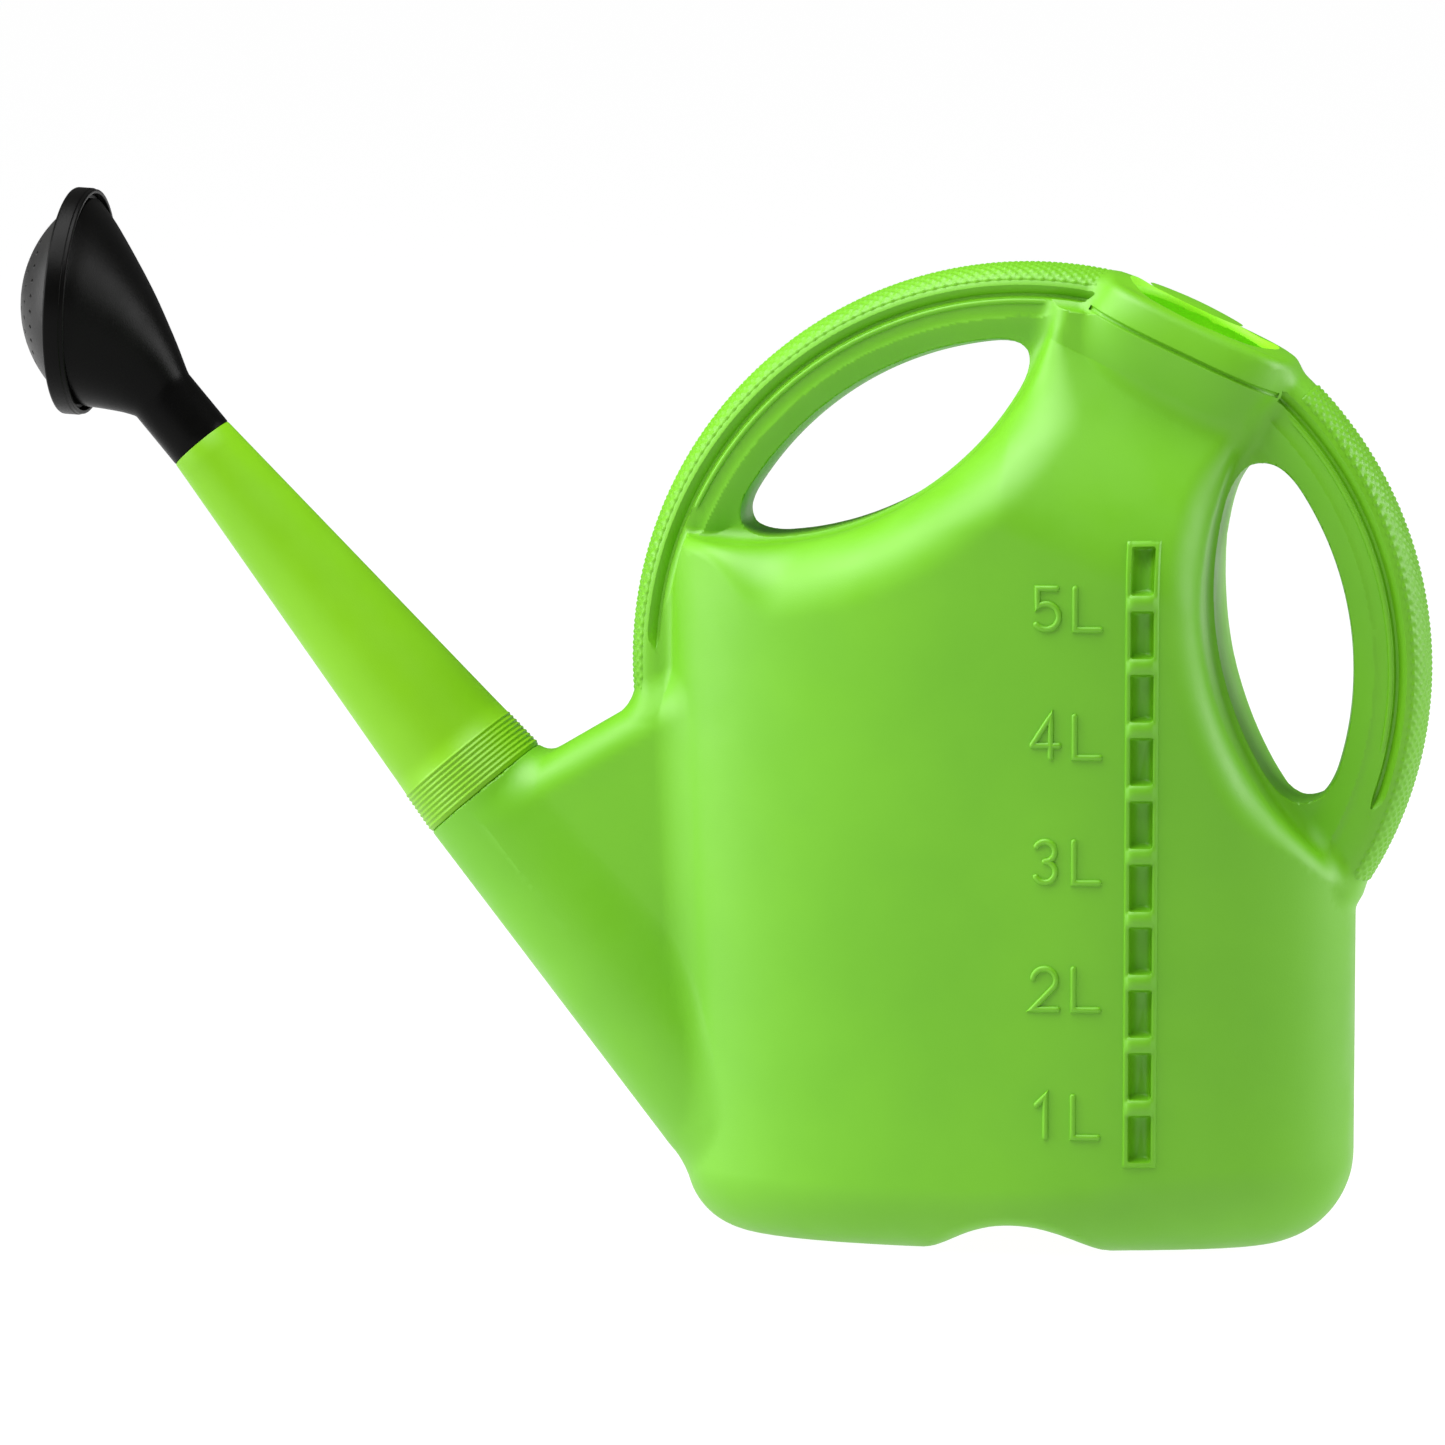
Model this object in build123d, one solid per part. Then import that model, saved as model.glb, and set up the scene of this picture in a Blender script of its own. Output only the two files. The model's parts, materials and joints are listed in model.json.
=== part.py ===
from build123d import *
import os
from math import cos, radians, sin

# A five-litre garden watering can in blow-moulded plastic, in millimetres, +Z up.
# The can stands on z = 0. It is drawn with x = 0 at the middle of the water tank and y = 0 on the
# parting plane, with the spout towards -X, and is then moved so that the origin is at the middle
# of the whole can's footprint.

# Tank: plan is a rounded oval, a superellipse.
TANK_HALF_LENGTH = 117.0
TANK_HALF_DEPTH = 56.0
TANK_ROUNDNESS = 2.3
PLAN_POINTS = 32
BASE_RADIUS = 19.0
WALL = 2.0

# The faces lean in from the shoulder to the waist under the filler neck.
SHOULDER_Z = 250.0
WAIST_Z = 312.0
WAIST_HALF_DEPTH = 25.0

# Ring handle, a hoop in the plane y = 0, from the spout web over the neck to the back wall.
RING_X = 3.2
RING_Z = 200.5
RING_OUTER = 140.2
RING_INNER = 113.5
RING_WIDTH = 32.0
RING_CORNER = 9.0
RING_FROM = -34.5
RING_TO = 188.5
RING_WALL = 4.0
RING_END_INSET = 1.5
GROOVE_RADIUS = 129.4
GROOVE_WIDTH = 2.4
GROOVE_DEPTH = 2.5
FRONT_GROOVE = (80.0, 178.0)
BACK_GROOVE = (-21.0, 43.0)
TOP_CORNER_GAP = 6.0
BACK_WALL_TOP = 160.5

# The free stretches of the hoop are kept as grips of their own, cut where the hand openings end.
FRONT_GRIP = (95.0, 149.0)
BACK_GRIP = (-15.5, 37.0)
GRIP_MARGIN = 4.0

# Hand openings: each is a round cut that the ring closes on its other side. The cut flares from
# the middle plane out to the tank's faces, which gives the wide rounded lip.
FRONT_CUT_X = -91.3
FRONT_CUT_Z = 351.7
FRONT_CUT_RADIUS = 108.0
FRONT_FLARE = 27.0
BACK_CUT_X = 193.3
BACK_CUT_Z = 236.7
BACK_CUT_RADIUS = 122.4
BACK_FLARE = 16.0
CUT_MARGIN = 4.0
TIP_RADIUS = 9.0
TIP_WIDTH = 24.0
TIP_OVERLAP = 0.5

# Filler neck: an oval with a flat sloping top, widest at the crease part way down.
NECK_X = 63.0
NECK_Z = 321.5
NECK_SLOPE = 24.6
NECK_TOP = (36.0, 26.0)
NECK_CREASE = (38.0, 30.0)
NECK_FOOT = (34.0, 22.0)
CREASE_DROP = 12.0
FOOT_DROP = 31.0
FILLER_HALF = (26.0, 23.5)

# Spout line: it leans from the vertical towards -X. The stub is part of the tank.
SPOUT_TILT = -40.2
JOINT_X = -189.7
JOINT_Z = 152.5
JOINT_RADIUS = 24.25
STUB_LENGTH = 138.0
STUB_ROOT_RADIUS = 29.6
STUB_WALL = 3.0
WEB_HALF_DEPTH = 22.0
WEB_OUTLINE = ((-168, 165), (-137.5, 183), (-112, 190), (-96, 150), (-96, 70), (-140, 100))

# The stub is kept apart from the tank just outside the tank's face.
STUB_CUT = 0.5
STUB_TOP_Z = 183.0
STUB_INNER_X = -100.0

# Push fit of the tube on the stub: a spigot with a ring seal in the tube's bore.
SPIGOT_RADIUS = 20.0
SPIGOT_BORE = 17.5
SPIGOT_LENGTH = 16.0
SPIGOT_ROOT = 14.0
SPIGOT_BEVEL = 1.0
SPIGOT_END_GAP = 1.5
RUNNING_GAP = 0.3
SEAL_GAP = 0.05
SPOUT_SEAL_DEPTH = 2.0
SPOUT_SEAL_FROM = 7.0
SPOUT_SEAL_HEIGHT = 3.0
JOINT_BEVEL = 0.5

# Tube, from the stub to the rose.
TUBE_LENGTH = 157.5
TUBE_TIP_RADIUS = 11.9
TUBE_WALL = 2.0
TUBE_RIB_FROM = 1.0
TUBE_RIB_COUNT = 9
TUBE_RIB_PITCH = 1.7
TUBE_RIB_HEIGHT = 0.25
NOSE_RADIUS = 9.0
NOSE_BORE = 7.0
NOSE_LENGTH = 14.0
NOSE_TAPER_FROM = 8.0
NOSE_TAPER_TO = 1.0
ROSE_SEAL_DEPTH = 1.6
ROSE_SEAL_FROM = 5.0
ROSE_SEAL_HEIGHT = 2.4

# Rose: a sleeve in line with the tube, then a bent funnel out to an upright round face.
SLEEVE_LENGTH = 22.0
SLEEVE_THROAT = 9.5
SLEEVE_END_GAP = 1.0
FACE_X = -338.7
FACE_Z = 322.5
FACE_TILT = -87.0
RIM_RADIUS = 40.0
RIM_SKIRT = 7.5
RIM_WALL = 1.8
RIM_LIP_RADIUS = 35.5
RIM_LIP = 1.5
RIM_BEVEL = 1.0
PLATE_RADIUS = 37.8
PLATE_THICK = 1.6
DOME_RADIUS = 35.0
DOME_RISE = 18.0
FLANGE_THICK = 2.2
FUNNEL_RADIUS = 36.0
FUNNEL_MIDDLE = (-316.2, 306.5, 26.3, -62.0)
FUNNEL_WALL = 1.8
HOLE_RADIUS = 0.75
HOLE_RINGS = 6
HOLE_PITCH = 5.2

# Litre gauge on the -Y face: ten pockets with bars between, and raised figures beside them.
GAUGE_X = 49.0
GAUGE_FROM = 32.4
GAUGE_TO = 249.0
GAUGE_PITCH = 21.7
GAUGE_HALF_WIDTH = 4.6
GAUGE_POCKETS = 10
POCKET_HEIGHT = 16.0
POCKET_FLOOR = 48.3
POCKET_REACH = 20.0
LITRE_Z = (50.6, 94.8, 138.6, 181.7, 225.5)
DIGIT_X = 16.4
LETTER_X = 30.3
STROKE = 1.4
RELIEF = 0.8
RELIEF_ROOT = 53.9

# Notch across the base, for the fingers of the second hand.
NOTCH_X = 4.0
NOTCH_HALF_WIDTH = 26.0
NOTCH_HEIGHT = 10.6

REACH = 400.0


def placed(shape, x, z, tilt):
    """Moves a shape from its own axis, z, to a line in the middle plane."""
    return Location((x, 0, z), (0, tilt, 0)) * shape


def on_spout(shape, along=0.0):
    """Puts a shape on the spout's line, at a distance from the joint."""
    x = JOINT_X + along * sin(radians(SPOUT_TILT))
    z = JOINT_Z + along * cos(radians(SPOUT_TILT))
    return placed(shape, x, z, SPOUT_TILT)


def turned(points):
    """Revolves an outline of (radius, height) points about the z axis."""
    outline = Plane.XZ * make_face(Polyline(*points, close=True))
    return revolve(outline, Axis.Z, 360)


def signed_power(value, power):
    return abs(value) ** power if value >= 0 else -abs(value) ** power


def plan_prism(inset, bottom, top):
    """The tank's oval plan, drawn in by inset, between two heights."""
    half_length = TANK_HALF_LENGTH - inset
    half_depth = TANK_HALF_DEPTH - inset
    power = 2.0 / TANK_ROUNDNESS
    points = []
    for step in range(PLAN_POINTS):
        angle = radians(360.0 * step / PLAN_POINTS)
        x = half_length * signed_power(cos(angle), power)
        y = half_depth * signed_power(sin(angle), power)
        points.append((x, y))
    oval = Pos(0, 0, bottom) * make_face(Spline(*points, periodic=True))
    return extrude(oval, top - bottom)


def flared_cut(x, z, radius, flare, inset):
    """A spool along Y: its radius grows from the middle plane to the tank's faces as a quarter oval."""
    start = radius + inset
    end = TANK_HALF_DEPTH + CUT_MARGIN
    lip = EllipticalCenterArc((start + flare, 0), flare, end, 90, arc_size=90)
    top = Line((start + flare, end), (0, end))
    middle = Line((0, end), (0, 0))
    foot = Line((0, 0), (start, 0))
    half = make_face([lip, top, middle, foot])
    spool = revolve(half, Axis.Y, 360)
    spool = spool + mirror(spool, Plane.XZ)
    return Pos(x, 0, z) * spool


def ring_arc(centre, width, depth, corner, start, end, y=0.0):
    """Part of a hoop about the ring's centre, between two angles from +X towards +Z."""
    outline = RectangleRounded(width, depth, corner) if corner else Rectangle(width, depth)
    section = Rot(0, -start, 0) * (Pos(centre, y, 0) * outline)
    axis = Axis((0, 0, 0), (0, -1, 0))
    return Pos(RING_X, 0, RING_Z) * revolve(section, axis, end - start)


def oval_face(half, drop):
    return Pos(0, 0, -drop) * make_face(Ellipse(half[0], half[1]).edges())


def neck_solid(inset):
    """The filler neck as two tapers that meet at the crease."""
    top = oval_face((NECK_TOP[0] - inset, NECK_TOP[1] - inset), inset)
    crease = oval_face((NECK_CREASE[0] - inset, NECK_CREASE[1] - inset), CREASE_DROP)
    foot = oval_face((NECK_FOOT[0] - inset, NECK_FOOT[1] - inset), FOOT_DROP)
    neck = loft([top, crease], ruled=True) + loft([crease, foot], ruled=True)
    return placed(neck, NECK_X, NECK_Z, NECK_SLOPE)


def leaning_prism(inset):
    """The depth of the tank seen from the end: upright to the shoulder, then in to the waist."""
    half = TANK_HALF_DEPTH - inset
    waist = WAIST_HALF_DEPTH - inset
    top = NECK_Z - FOOT_DROP / 2.0
    points = [(-half, 0), (half, 0), (half, SHOULDER_Z), (waist, WAIST_Z), (waist, top), (-waist, top)]
    points += [(-waist, WAIST_Z), (-half, SHOULDER_Z)]
    outline = Plane.YZ * make_face(Polyline(*points, close=True))
    return extrude(outline, TANK_HALF_LENGTH + 10.0, both=True)


def notch_cut(inset):
    radius = (NOTCH_HALF_WIDTH ** 2 + NOTCH_HEIGHT ** 2) / (2.0 * NOTCH_HEIGHT)
    bar = Cylinder(radius + inset, 2.0 * REACH, rotation=(90, 0, 0))
    return Pos(NOTCH_X, 0, NOTCH_HEIGHT - radius) * bar


def web_prism(inset):
    """The flat web that fills the corner between the stub, the tank and the ring's front end."""
    outline = make_face(Plane.XZ * Polyline(*WEB_OUTLINE, close=True))
    if inset:
        outline = offset(outline, -inset)
    return extrude(outline, WEB_HALF_DEPTH - inset, both=True)


def inside_ring(inset):
    """The round outline that keeps the top of the tank within the ring."""
    disc = Cylinder(RING_OUTER - TOP_CORNER_GAP - inset, 2 * REACH, rotation=(90, 0, 0))
    lower = Box(REACH, REACH, BACK_WALL_TOP, align=(Align.CENTER, Align.CENTER, Align.MIN))
    return Pos(RING_X, 0, RING_Z) * disc + lower


def tank_block(inset):
    """The water space's outline with every wall moved in by inset: the tank, web, stub, ring and neck."""
    block = plan_prism(inset, inset, NECK_Z)
    rounding = BASE_RADIUS - inset
    base_edges = block.edges().group_by(Axis.Z)[0]
    block = fillet(base_edges, rounding)
    block = block - notch_cut(inset)
    block = block & leaning_prism(inset)
    block = block & inside_ring(inset)
    block = block - flared_cut(FRONT_CUT_X, FRONT_CUT_Z, FRONT_CUT_RADIUS, FRONT_FLARE, inset)
    block = block - flared_cut(BACK_CUT_X, BACK_CUT_Z, BACK_CUT_RADIUS, BACK_FLARE, inset)
    wall = RING_WALL if inset else 0.0
    section = (RING_OUTER - RING_INNER - 2 * wall, RING_WIDTH - 2 * wall, RING_CORNER - wall)
    end_inset = RING_END_INSET if inset else 0.0
    middle = (RING_OUTER + RING_INNER) / 2.0
    block = block + ring_arc(middle, *section, RING_FROM + end_inset, RING_TO - end_inset)
    block = block + web_prism(inset)
    block = block + stub_solid(inset)
    block = block + neck_solid(inset)
    return block


def stub_solid(inset):
    """The stub, a slightly tapering pipe that ends in a rounded root inside the tank."""
    wall = STUB_WALL if inset else 0.0
    length = STUB_LENGTH
    pipe = Pos(0, 0, -length / 2.0) * Cone(STUB_ROOT_RADIUS - wall, JOINT_RADIUS - wall, length)
    root = Pos(0, 0, -length) * Sphere(STUB_ROOT_RADIUS - wall)
    return on_spout(pipe + root)


def hole_tips():
    """Fills the sharp ends of the two hand openings with rounded webs."""
    tips = None
    ring = Pos(RING_X, RING_Z) * Circle(RING_INNER + TIP_OVERLAP)
    for x, z, radius in [
        (FRONT_CUT_X, FRONT_CUT_Z, FRONT_CUT_RADIUS),
        (BACK_CUT_X, BACK_CUT_Z, BACK_CUT_RADIUS),
    ]:
        lens = ring & (Pos(x, z) * Circle(radius + TIP_OVERLAP))
        rounded = fillet(lens.vertices(), TIP_RADIUS)
        for face in (lens - rounded).faces():
            tip = extrude(Plane.XZ * face, TIP_WIDTH / 2.0, both=True)
            tips = tip if tips is None else tips + tip
    return tips


def sloping_top_cut():
    """Everything above the plane of the filler neck's flat top."""
    block = Box(2 * REACH, 2 * REACH, REACH, align=(Align.CENTER, Align.CENTER, Align.MIN))
    return placed(block, NECK_X, NECK_Z, NECK_SLOPE)


def ring_grooves():
    grooves = None
    for start, end in (FRONT_GROOVE, BACK_GROOVE):
        for side in (-1, 1):
            y = side * (RING_WIDTH - GROOVE_DEPTH) / 2.0
            groove = ring_arc(GROOVE_RADIUS, GROOVE_WIDTH, GROOVE_DEPTH + 0.2, 0, start, end, y)
            grooves = groove if grooves is None else grooves + groove
    return grooves


def pocket_cuts():
    """The ten gauge pockets, cut to one flat floor."""
    cuts = []
    for step in range(GAUGE_POCKETS):
        z = GAUGE_FROM + GAUGE_PITCH * (step + 0.5)
        pocket = Box(2 * GAUGE_HALF_WIDTH, POCKET_REACH, POCKET_HEIGHT)
        cuts.append(Pos(GAUGE_X, -POCKET_FLOOR - POCKET_REACH / 2.0, z) * pocket)
    return cuts


def gauge_backing():
    """A thickness behind the pockets that keeps the wall whole."""
    height = GAUGE_TO - GAUGE_FROM + 2 * WALL
    strip = Box(2 * (GAUGE_HALF_WIDTH + WALL), POCKET_REACH, height)
    y = -POCKET_FLOOR - POCKET_REACH / 2.0 + WALL
    return Pos(GAUGE_X, y, (GAUGE_TO + GAUGE_FROM) / 2.0) * strip


def digit_lines(symbol):
    """Centre lines of a plain upright figure, 14 high and about 9 wide, about its middle."""
    if symbol == "1":
        return [Line((0.5, -7), (0.5, 7)), Line((0.5, 7), (-2.5, 4))]
    if symbol == "2":
        top = CenterArc((0, 3), 4, -35, 205)
        slant = Line(top @ 0, (-4, -7))
        return [top, slant, Line((-4, -7), (4.5, -7))]
    if symbol == "3":
        return [CenterArc((0, 3.6), 3.4, -90, 240), CenterArc((0, -3.4), 3.6, -150, 240)]
    if symbol == "4":
        return [Line((1.8, -7), (1.8, 7)), Line((1.8, 7), (-4.5, -3)), Line((-4.5, -3), (4.5, -3))]
    if symbol == "5":
        bowl = CenterArc((0, -2.6), 4.4, -140, 270)
        return [bowl, Line((-3, 7), bowl @ 1), Line((3.5, 7), (-3, 7))]
    return [Line((-4, 7), (-4, -7)), Line((-4, -7), (4.5, -7))]


def raised_figures():
    """The litre figures, standing a little proud of the tank's face."""
    skin = plan_prism(-RELIEF, 20, 250)
    figures = []
    for litres, z in enumerate(LITRE_Z, start=1):
        for symbol, x in ((str(litres), DIGIT_X), ("L", LETTER_X)):
            for line in digit_lines(symbol):
                stroke = trace(line, STROKE)
                prism = extrude(Plane.XZ.offset(RELIEF_ROOT) * (Pos(x, z) * stroke), 10)
                figures.append(prism & skin)
    return figures


def spigot():
    """The stub's shoulder and the reduced spigot that goes into the tube."""
    points = [
        (SPIGOT_BORE, -SPIGOT_ROOT),
        (JOINT_RADIUS - JOINT_BEVEL, -SPIGOT_ROOT),
        (JOINT_RADIUS, -JOINT_BEVEL),
        (JOINT_RADIUS - JOINT_BEVEL, 0),
        (SPIGOT_RADIUS, 0),
        (SPIGOT_RADIUS, SPIGOT_LENGTH - SPIGOT_BEVEL),
        (SPIGOT_RADIUS - SPIGOT_BEVEL, SPIGOT_LENGTH),
        (SPIGOT_BORE, SPIGOT_LENGTH),
    ]
    return on_spout(turned(points))


def make_shell():
    """The whole moulding: tank, stub, hoop and neck, hollow right through."""
    outer = tank_block(0.0)
    outer = outer + hole_tips()
    outer = outer - sloping_top_cut()
    outer = outer - ring_grooves()
    outer = outer + raised_figures()
    outer = outer - pocket_cuts()
    water = tank_block(WALL) - gauge_backing()
    filler = extrude(oval_face(FILLER_HALF, 20), 40)
    water = water + placed(filler, NECK_X, NECK_Z, NECK_SLOPE)
    shell = outer - water
    mouth = Cylinder(SPIGOT_BORE, 60)
    shell = shell + spigot()
    return shell - on_spout(mouth)


def grip_region(start, end):
    """A block about the hoop between two angles, clear of the tank."""
    middle = (RING_OUTER + RING_INNER) / 2.0
    width = RING_OUTER - RING_INNER + 2 * GRIP_MARGIN
    return ring_arc(middle, width, RING_WIDTH + 2 * GRIP_MARGIN, 0, start, end)


def stub_region():
    """The space in front of the tank's face and below the hoop's front end."""
    height = STUB_TOP_Z + BASE_RADIUS
    box = Box(REACH, REACH, height, align=(Align.MAX, Align.CENTER, Align.MAX))
    return Pos(STUB_INNER_X, 0, STUB_TOP_Z) * box - plan_prism(-STUB_CUT, -REACH, REACH)


def split_shell():
    """The moulding as four nodes that meet face to face: tank, stub and the two free grips."""
    shell = make_shell()
    regions = {
        "front_grip": grip_region(*FRONT_GRIP),
        "back_grip": grip_region(*BACK_GRIP),
        "spout_stub": stub_region(),
    }
    parts = {}
    for name, region in regions.items():
        parts[name] = shell & region
        shell = shell - region
    parts["tank"] = shell
    return parts


def make_spout_tube():
    """The tapered tube: a socket with a seal groove below, and a reduced nose above."""
    socket = SPIGOT_RADIUS + RUNNING_GAP
    seal_out = SPIGOT_RADIUS + SPOUT_SEAL_DEPTH + SEAL_GAP
    seal_top = SPOUT_SEAL_FROM + SPOUT_SEAL_HEIGHT + SEAL_GAP
    slope = (TUBE_TIP_RADIUS - JOINT_RADIUS) / TUBE_LENGTH
    outer = [(JOINT_RADIUS - JOINT_BEVEL, 0)]
    for step in range(TUBE_RIB_COUNT):
        z = TUBE_RIB_FROM + step * TUBE_RIB_PITCH
        radius = JOINT_RADIUS + slope * z
        outer.append((radius, z))
        outer.append((radius + TUBE_RIB_HEIGHT, z + 0.4 * TUBE_RIB_PITCH))
        outer.append((radius, z + 0.8 * TUBE_RIB_PITCH))
    outer.append((TUBE_TIP_RADIUS, TUBE_LENGTH))
    outer += [(NOSE_RADIUS, TUBE_LENGTH), (NOSE_RADIUS, TUBE_LENGTH + NOSE_LENGTH)]
    inner = [
        (NOSE_BORE, TUBE_LENGTH + NOSE_LENGTH),
        (NOSE_BORE, TUBE_LENGTH - NOSE_TAPER_TO),
        (TUBE_TIP_RADIUS - TUBE_WALL, TUBE_LENGTH - NOSE_TAPER_FROM),
        (socket, SPIGOT_LENGTH + SPIGOT_END_GAP),
        (socket, seal_top),
        (seal_out, seal_top),
        (seal_out, SPOUT_SEAL_FROM - SEAL_GAP),
        (socket, SPOUT_SEAL_FROM - SEAL_GAP),
        (socket, 0),
    ]
    return on_spout(turned(outer + inner))


def ring_seal(inner_radius, depth, height, along):
    """A ring seal with rounded lips."""
    outer_radius = inner_radius + depth - SEAL_GAP
    section = Plane.XZ * (
        Pos((inner_radius + SEAL_GAP + outer_radius) / 2.0, height / 2.0)
        * RectangleRounded(outer_radius - inner_radius - SEAL_GAP, height, 0.5)
    )
    return on_spout(revolve(section, Axis.Z, 360), along)


def sleeve():
    """The rose's sleeve over the tube's nose, with its inner seal groove."""
    bore = NOSE_RADIUS + RUNNING_GAP
    seal_out = NOSE_RADIUS + ROSE_SEAL_DEPTH + SEAL_GAP
    seal_top = ROSE_SEAL_FROM + ROSE_SEAL_HEIGHT + SEAL_GAP
    points = [
        (bore, 0),
        (TUBE_TIP_RADIUS, 0),
        (TUBE_TIP_RADIUS, SLEEVE_LENGTH),
        (SLEEVE_THROAT, SLEEVE_LENGTH),
        (bore, NOSE_LENGTH + SLEEVE_END_GAP),
        (bore, seal_top),
        (seal_out, seal_top),
        (seal_out, ROSE_SEAL_FROM - SEAL_GAP),
        (bore, ROSE_SEAL_FROM - SEAL_GAP),
    ]
    return on_spout(turned(points), TUBE_LENGTH)


def funnel(inset):
    """The bent funnel, a loft from the sleeve's end to the round flange."""
    small = on_spout(make_face(Circle(TUBE_TIP_RADIUS - inset).edges()), TUBE_LENGTH + SLEEVE_LENGTH)
    x, z, radius, tilt = FUNNEL_MIDDLE
    middle = placed(make_face(Circle(radius - inset).edges()), x, z, tilt)
    seat = Pos(0, 0, -PLATE_THICK - RIM_LIP) * make_face(Circle(FUNNEL_RADIUS - inset).edges())
    large = placed(seat, FACE_X, FACE_Z, FACE_TILT)
    return loft([small, middle, large])


def make_rose_housing():
    seat = -PLATE_THICK - RIM_LIP
    flange = turned([
        (FUNNEL_RADIUS - FUNNEL_WALL, seat),
        (RIM_RADIUS - RIM_WALL - RUNNING_GAP, seat),
        (RIM_RADIUS - RIM_WALL - RUNNING_GAP, seat - FLANGE_THICK),
        (FUNNEL_RADIUS - FUNNEL_WALL, seat - FLANGE_THICK),
    ])
    shell = funnel(0.0) - funnel(FUNNEL_WALL)
    passage = on_spout(Cylinder(NOSE_RADIUS + RUNNING_GAP, 8), TUBE_LENGTH + SLEEVE_LENGTH)
    housing = sleeve() + shell - passage
    return housing + placed(flange, FACE_X, FACE_Z, FACE_TILT)


def dome_radius():
    """The radius of the ball that the plate's dome is cut from."""
    return (DOME_RADIUS ** 2 + DOME_RISE ** 2) / (2.0 * DOME_RISE)


def make_rose_plate():
    """The domed spray plate with its rings of holes and its flat edge."""
    ball = dome_radius()
    centre = DOME_RISE - ball - RIM_LIP
    outside = Pos(0, 0, centre) * Sphere(ball)
    inside = Pos(0, 0, centre) * Sphere(ball - PLATE_THICK)
    above = Pos(0, 0, -RIM_LIP - PLATE_THICK) * Cylinder(
        RIM_RADIUS, 40, align=(Align.CENTER, Align.CENTER, Align.MIN)
    )
    edge = Pos(0, 0, -RIM_LIP - PLATE_THICK) * Cylinder(
        PLATE_RADIUS, PLATE_THICK, align=(Align.CENTER, Align.CENTER, Align.MIN)
    )
    plate = ((outside & above) + edge) - inside
    holes = [Cylinder(HOLE_RADIUS, 80)]
    for ring in range(1, HOLE_RINGS):
        radius = ring * HOLE_PITCH
        for place in PolarLocations(radius, 6 * ring):
            holes.append(place * Cylinder(HOLE_RADIUS, 80))
    plate = plate - holes
    return placed(plate, FACE_X, FACE_Z, FACE_TILT)


def make_rose_ring():
    """The rim ring: its lip holds the plate and its skirt goes over the housing's flange."""
    bore = RIM_RADIUS - RIM_WALL
    ring = turned([
        (RIM_LIP_RADIUS, 0),
        (RIM_RADIUS - RIM_BEVEL, 0),
        (RIM_RADIUS, -RIM_BEVEL),
        (RIM_RADIUS, -RIM_SKIRT),
        (bore, -RIM_SKIRT),
        (bore, -RIM_LIP),
        (RIM_LIP_RADIUS, -RIM_LIP),
    ])
    return placed(ring, FACE_X, FACE_Z, FACE_TILT)


pieces = split_shell() | {
    "spout_tube": make_spout_tube(),
    "spout_seal": ring_seal(SPIGOT_RADIUS, SPOUT_SEAL_DEPTH, SPOUT_SEAL_HEIGHT, SPOUT_SEAL_FROM),
    "rose_housing": make_rose_housing(),
    "rose_seal": ring_seal(NOSE_RADIUS, ROSE_SEAL_DEPTH, ROSE_SEAL_HEIGHT, TUBE_LENGTH + ROSE_SEAL_FROM),
    "rose_plate": make_rose_plate(),
    "rose_ring": make_rose_ring(),
}

whole = Compound(children=[Compound(children=list(piece.solids())) for piece in pieces.values()])
box = whole.bounding_box()
shift = Pos(-box.center().X, 0, -box.min.Z)
print("moved by", shift.position)
for name, piece in pieces.items():
    moved = shift * Compound(children=list(piece.solids()))
    print(name, len(moved.solids()), round(moved.volume), moved.bounding_box())
    export_step(moved, "parts/" + name + ".step")
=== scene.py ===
import json
from math import acos, cos, pi, radians, sin

import bmesh
import bpy
import numpy as np
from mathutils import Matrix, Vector


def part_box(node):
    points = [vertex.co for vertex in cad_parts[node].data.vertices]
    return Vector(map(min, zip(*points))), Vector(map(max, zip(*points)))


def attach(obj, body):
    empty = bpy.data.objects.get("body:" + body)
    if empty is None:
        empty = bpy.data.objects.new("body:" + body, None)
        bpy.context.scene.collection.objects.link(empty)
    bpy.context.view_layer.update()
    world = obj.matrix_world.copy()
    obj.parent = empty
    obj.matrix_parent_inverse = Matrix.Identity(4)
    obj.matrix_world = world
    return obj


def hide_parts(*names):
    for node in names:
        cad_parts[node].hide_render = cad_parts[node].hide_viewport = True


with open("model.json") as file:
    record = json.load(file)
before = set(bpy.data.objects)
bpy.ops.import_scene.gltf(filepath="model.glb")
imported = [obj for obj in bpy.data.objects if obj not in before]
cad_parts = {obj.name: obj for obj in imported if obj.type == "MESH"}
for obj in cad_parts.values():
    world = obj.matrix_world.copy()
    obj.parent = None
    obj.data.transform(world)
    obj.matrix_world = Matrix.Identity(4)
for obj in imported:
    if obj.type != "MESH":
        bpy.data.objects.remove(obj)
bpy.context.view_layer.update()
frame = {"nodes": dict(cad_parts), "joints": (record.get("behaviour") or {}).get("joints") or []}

# Shapes are worked out in millimetres with x = 0 at the middle of the tank, as in the CAD model,
# and are moved into the frame as they are made.
MM = 0.001
RING_X = 3.2
RING_Z = 200.5
CAD_RING_OUTER = 140.2
RING_OUTER = 138.9
RING_INNER = 114.7
TANK_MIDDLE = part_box("back_grip")[1].x / MM - RING_X - CAD_RING_OUTER

# Tank outline.
TANK_HALF_LENGTH = 117.0
TANK_HALF_DEPTH = 56.0
TANK_ROUNDNESS = 2.3
LEFT_FLARE = 0.055
WAIST_HALF_DEPTH = 22.0
WAIST_OUT = -27.0
SHOULDER_OUT = -90.0
FLOOR_RADIUS = 24.0
WALL = 2.4

# Hand openings.
FRONT_CUT = (-91.3, 351.7, 109.2, 25.0)
BACK_CUT = (189.3, 228.5, 122.2, 12.0)
TIP_EDGE = 5.0
TIP_RADII = (18.0, 25.0)
TIP_HALF_WIDTH = 13.0

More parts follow.
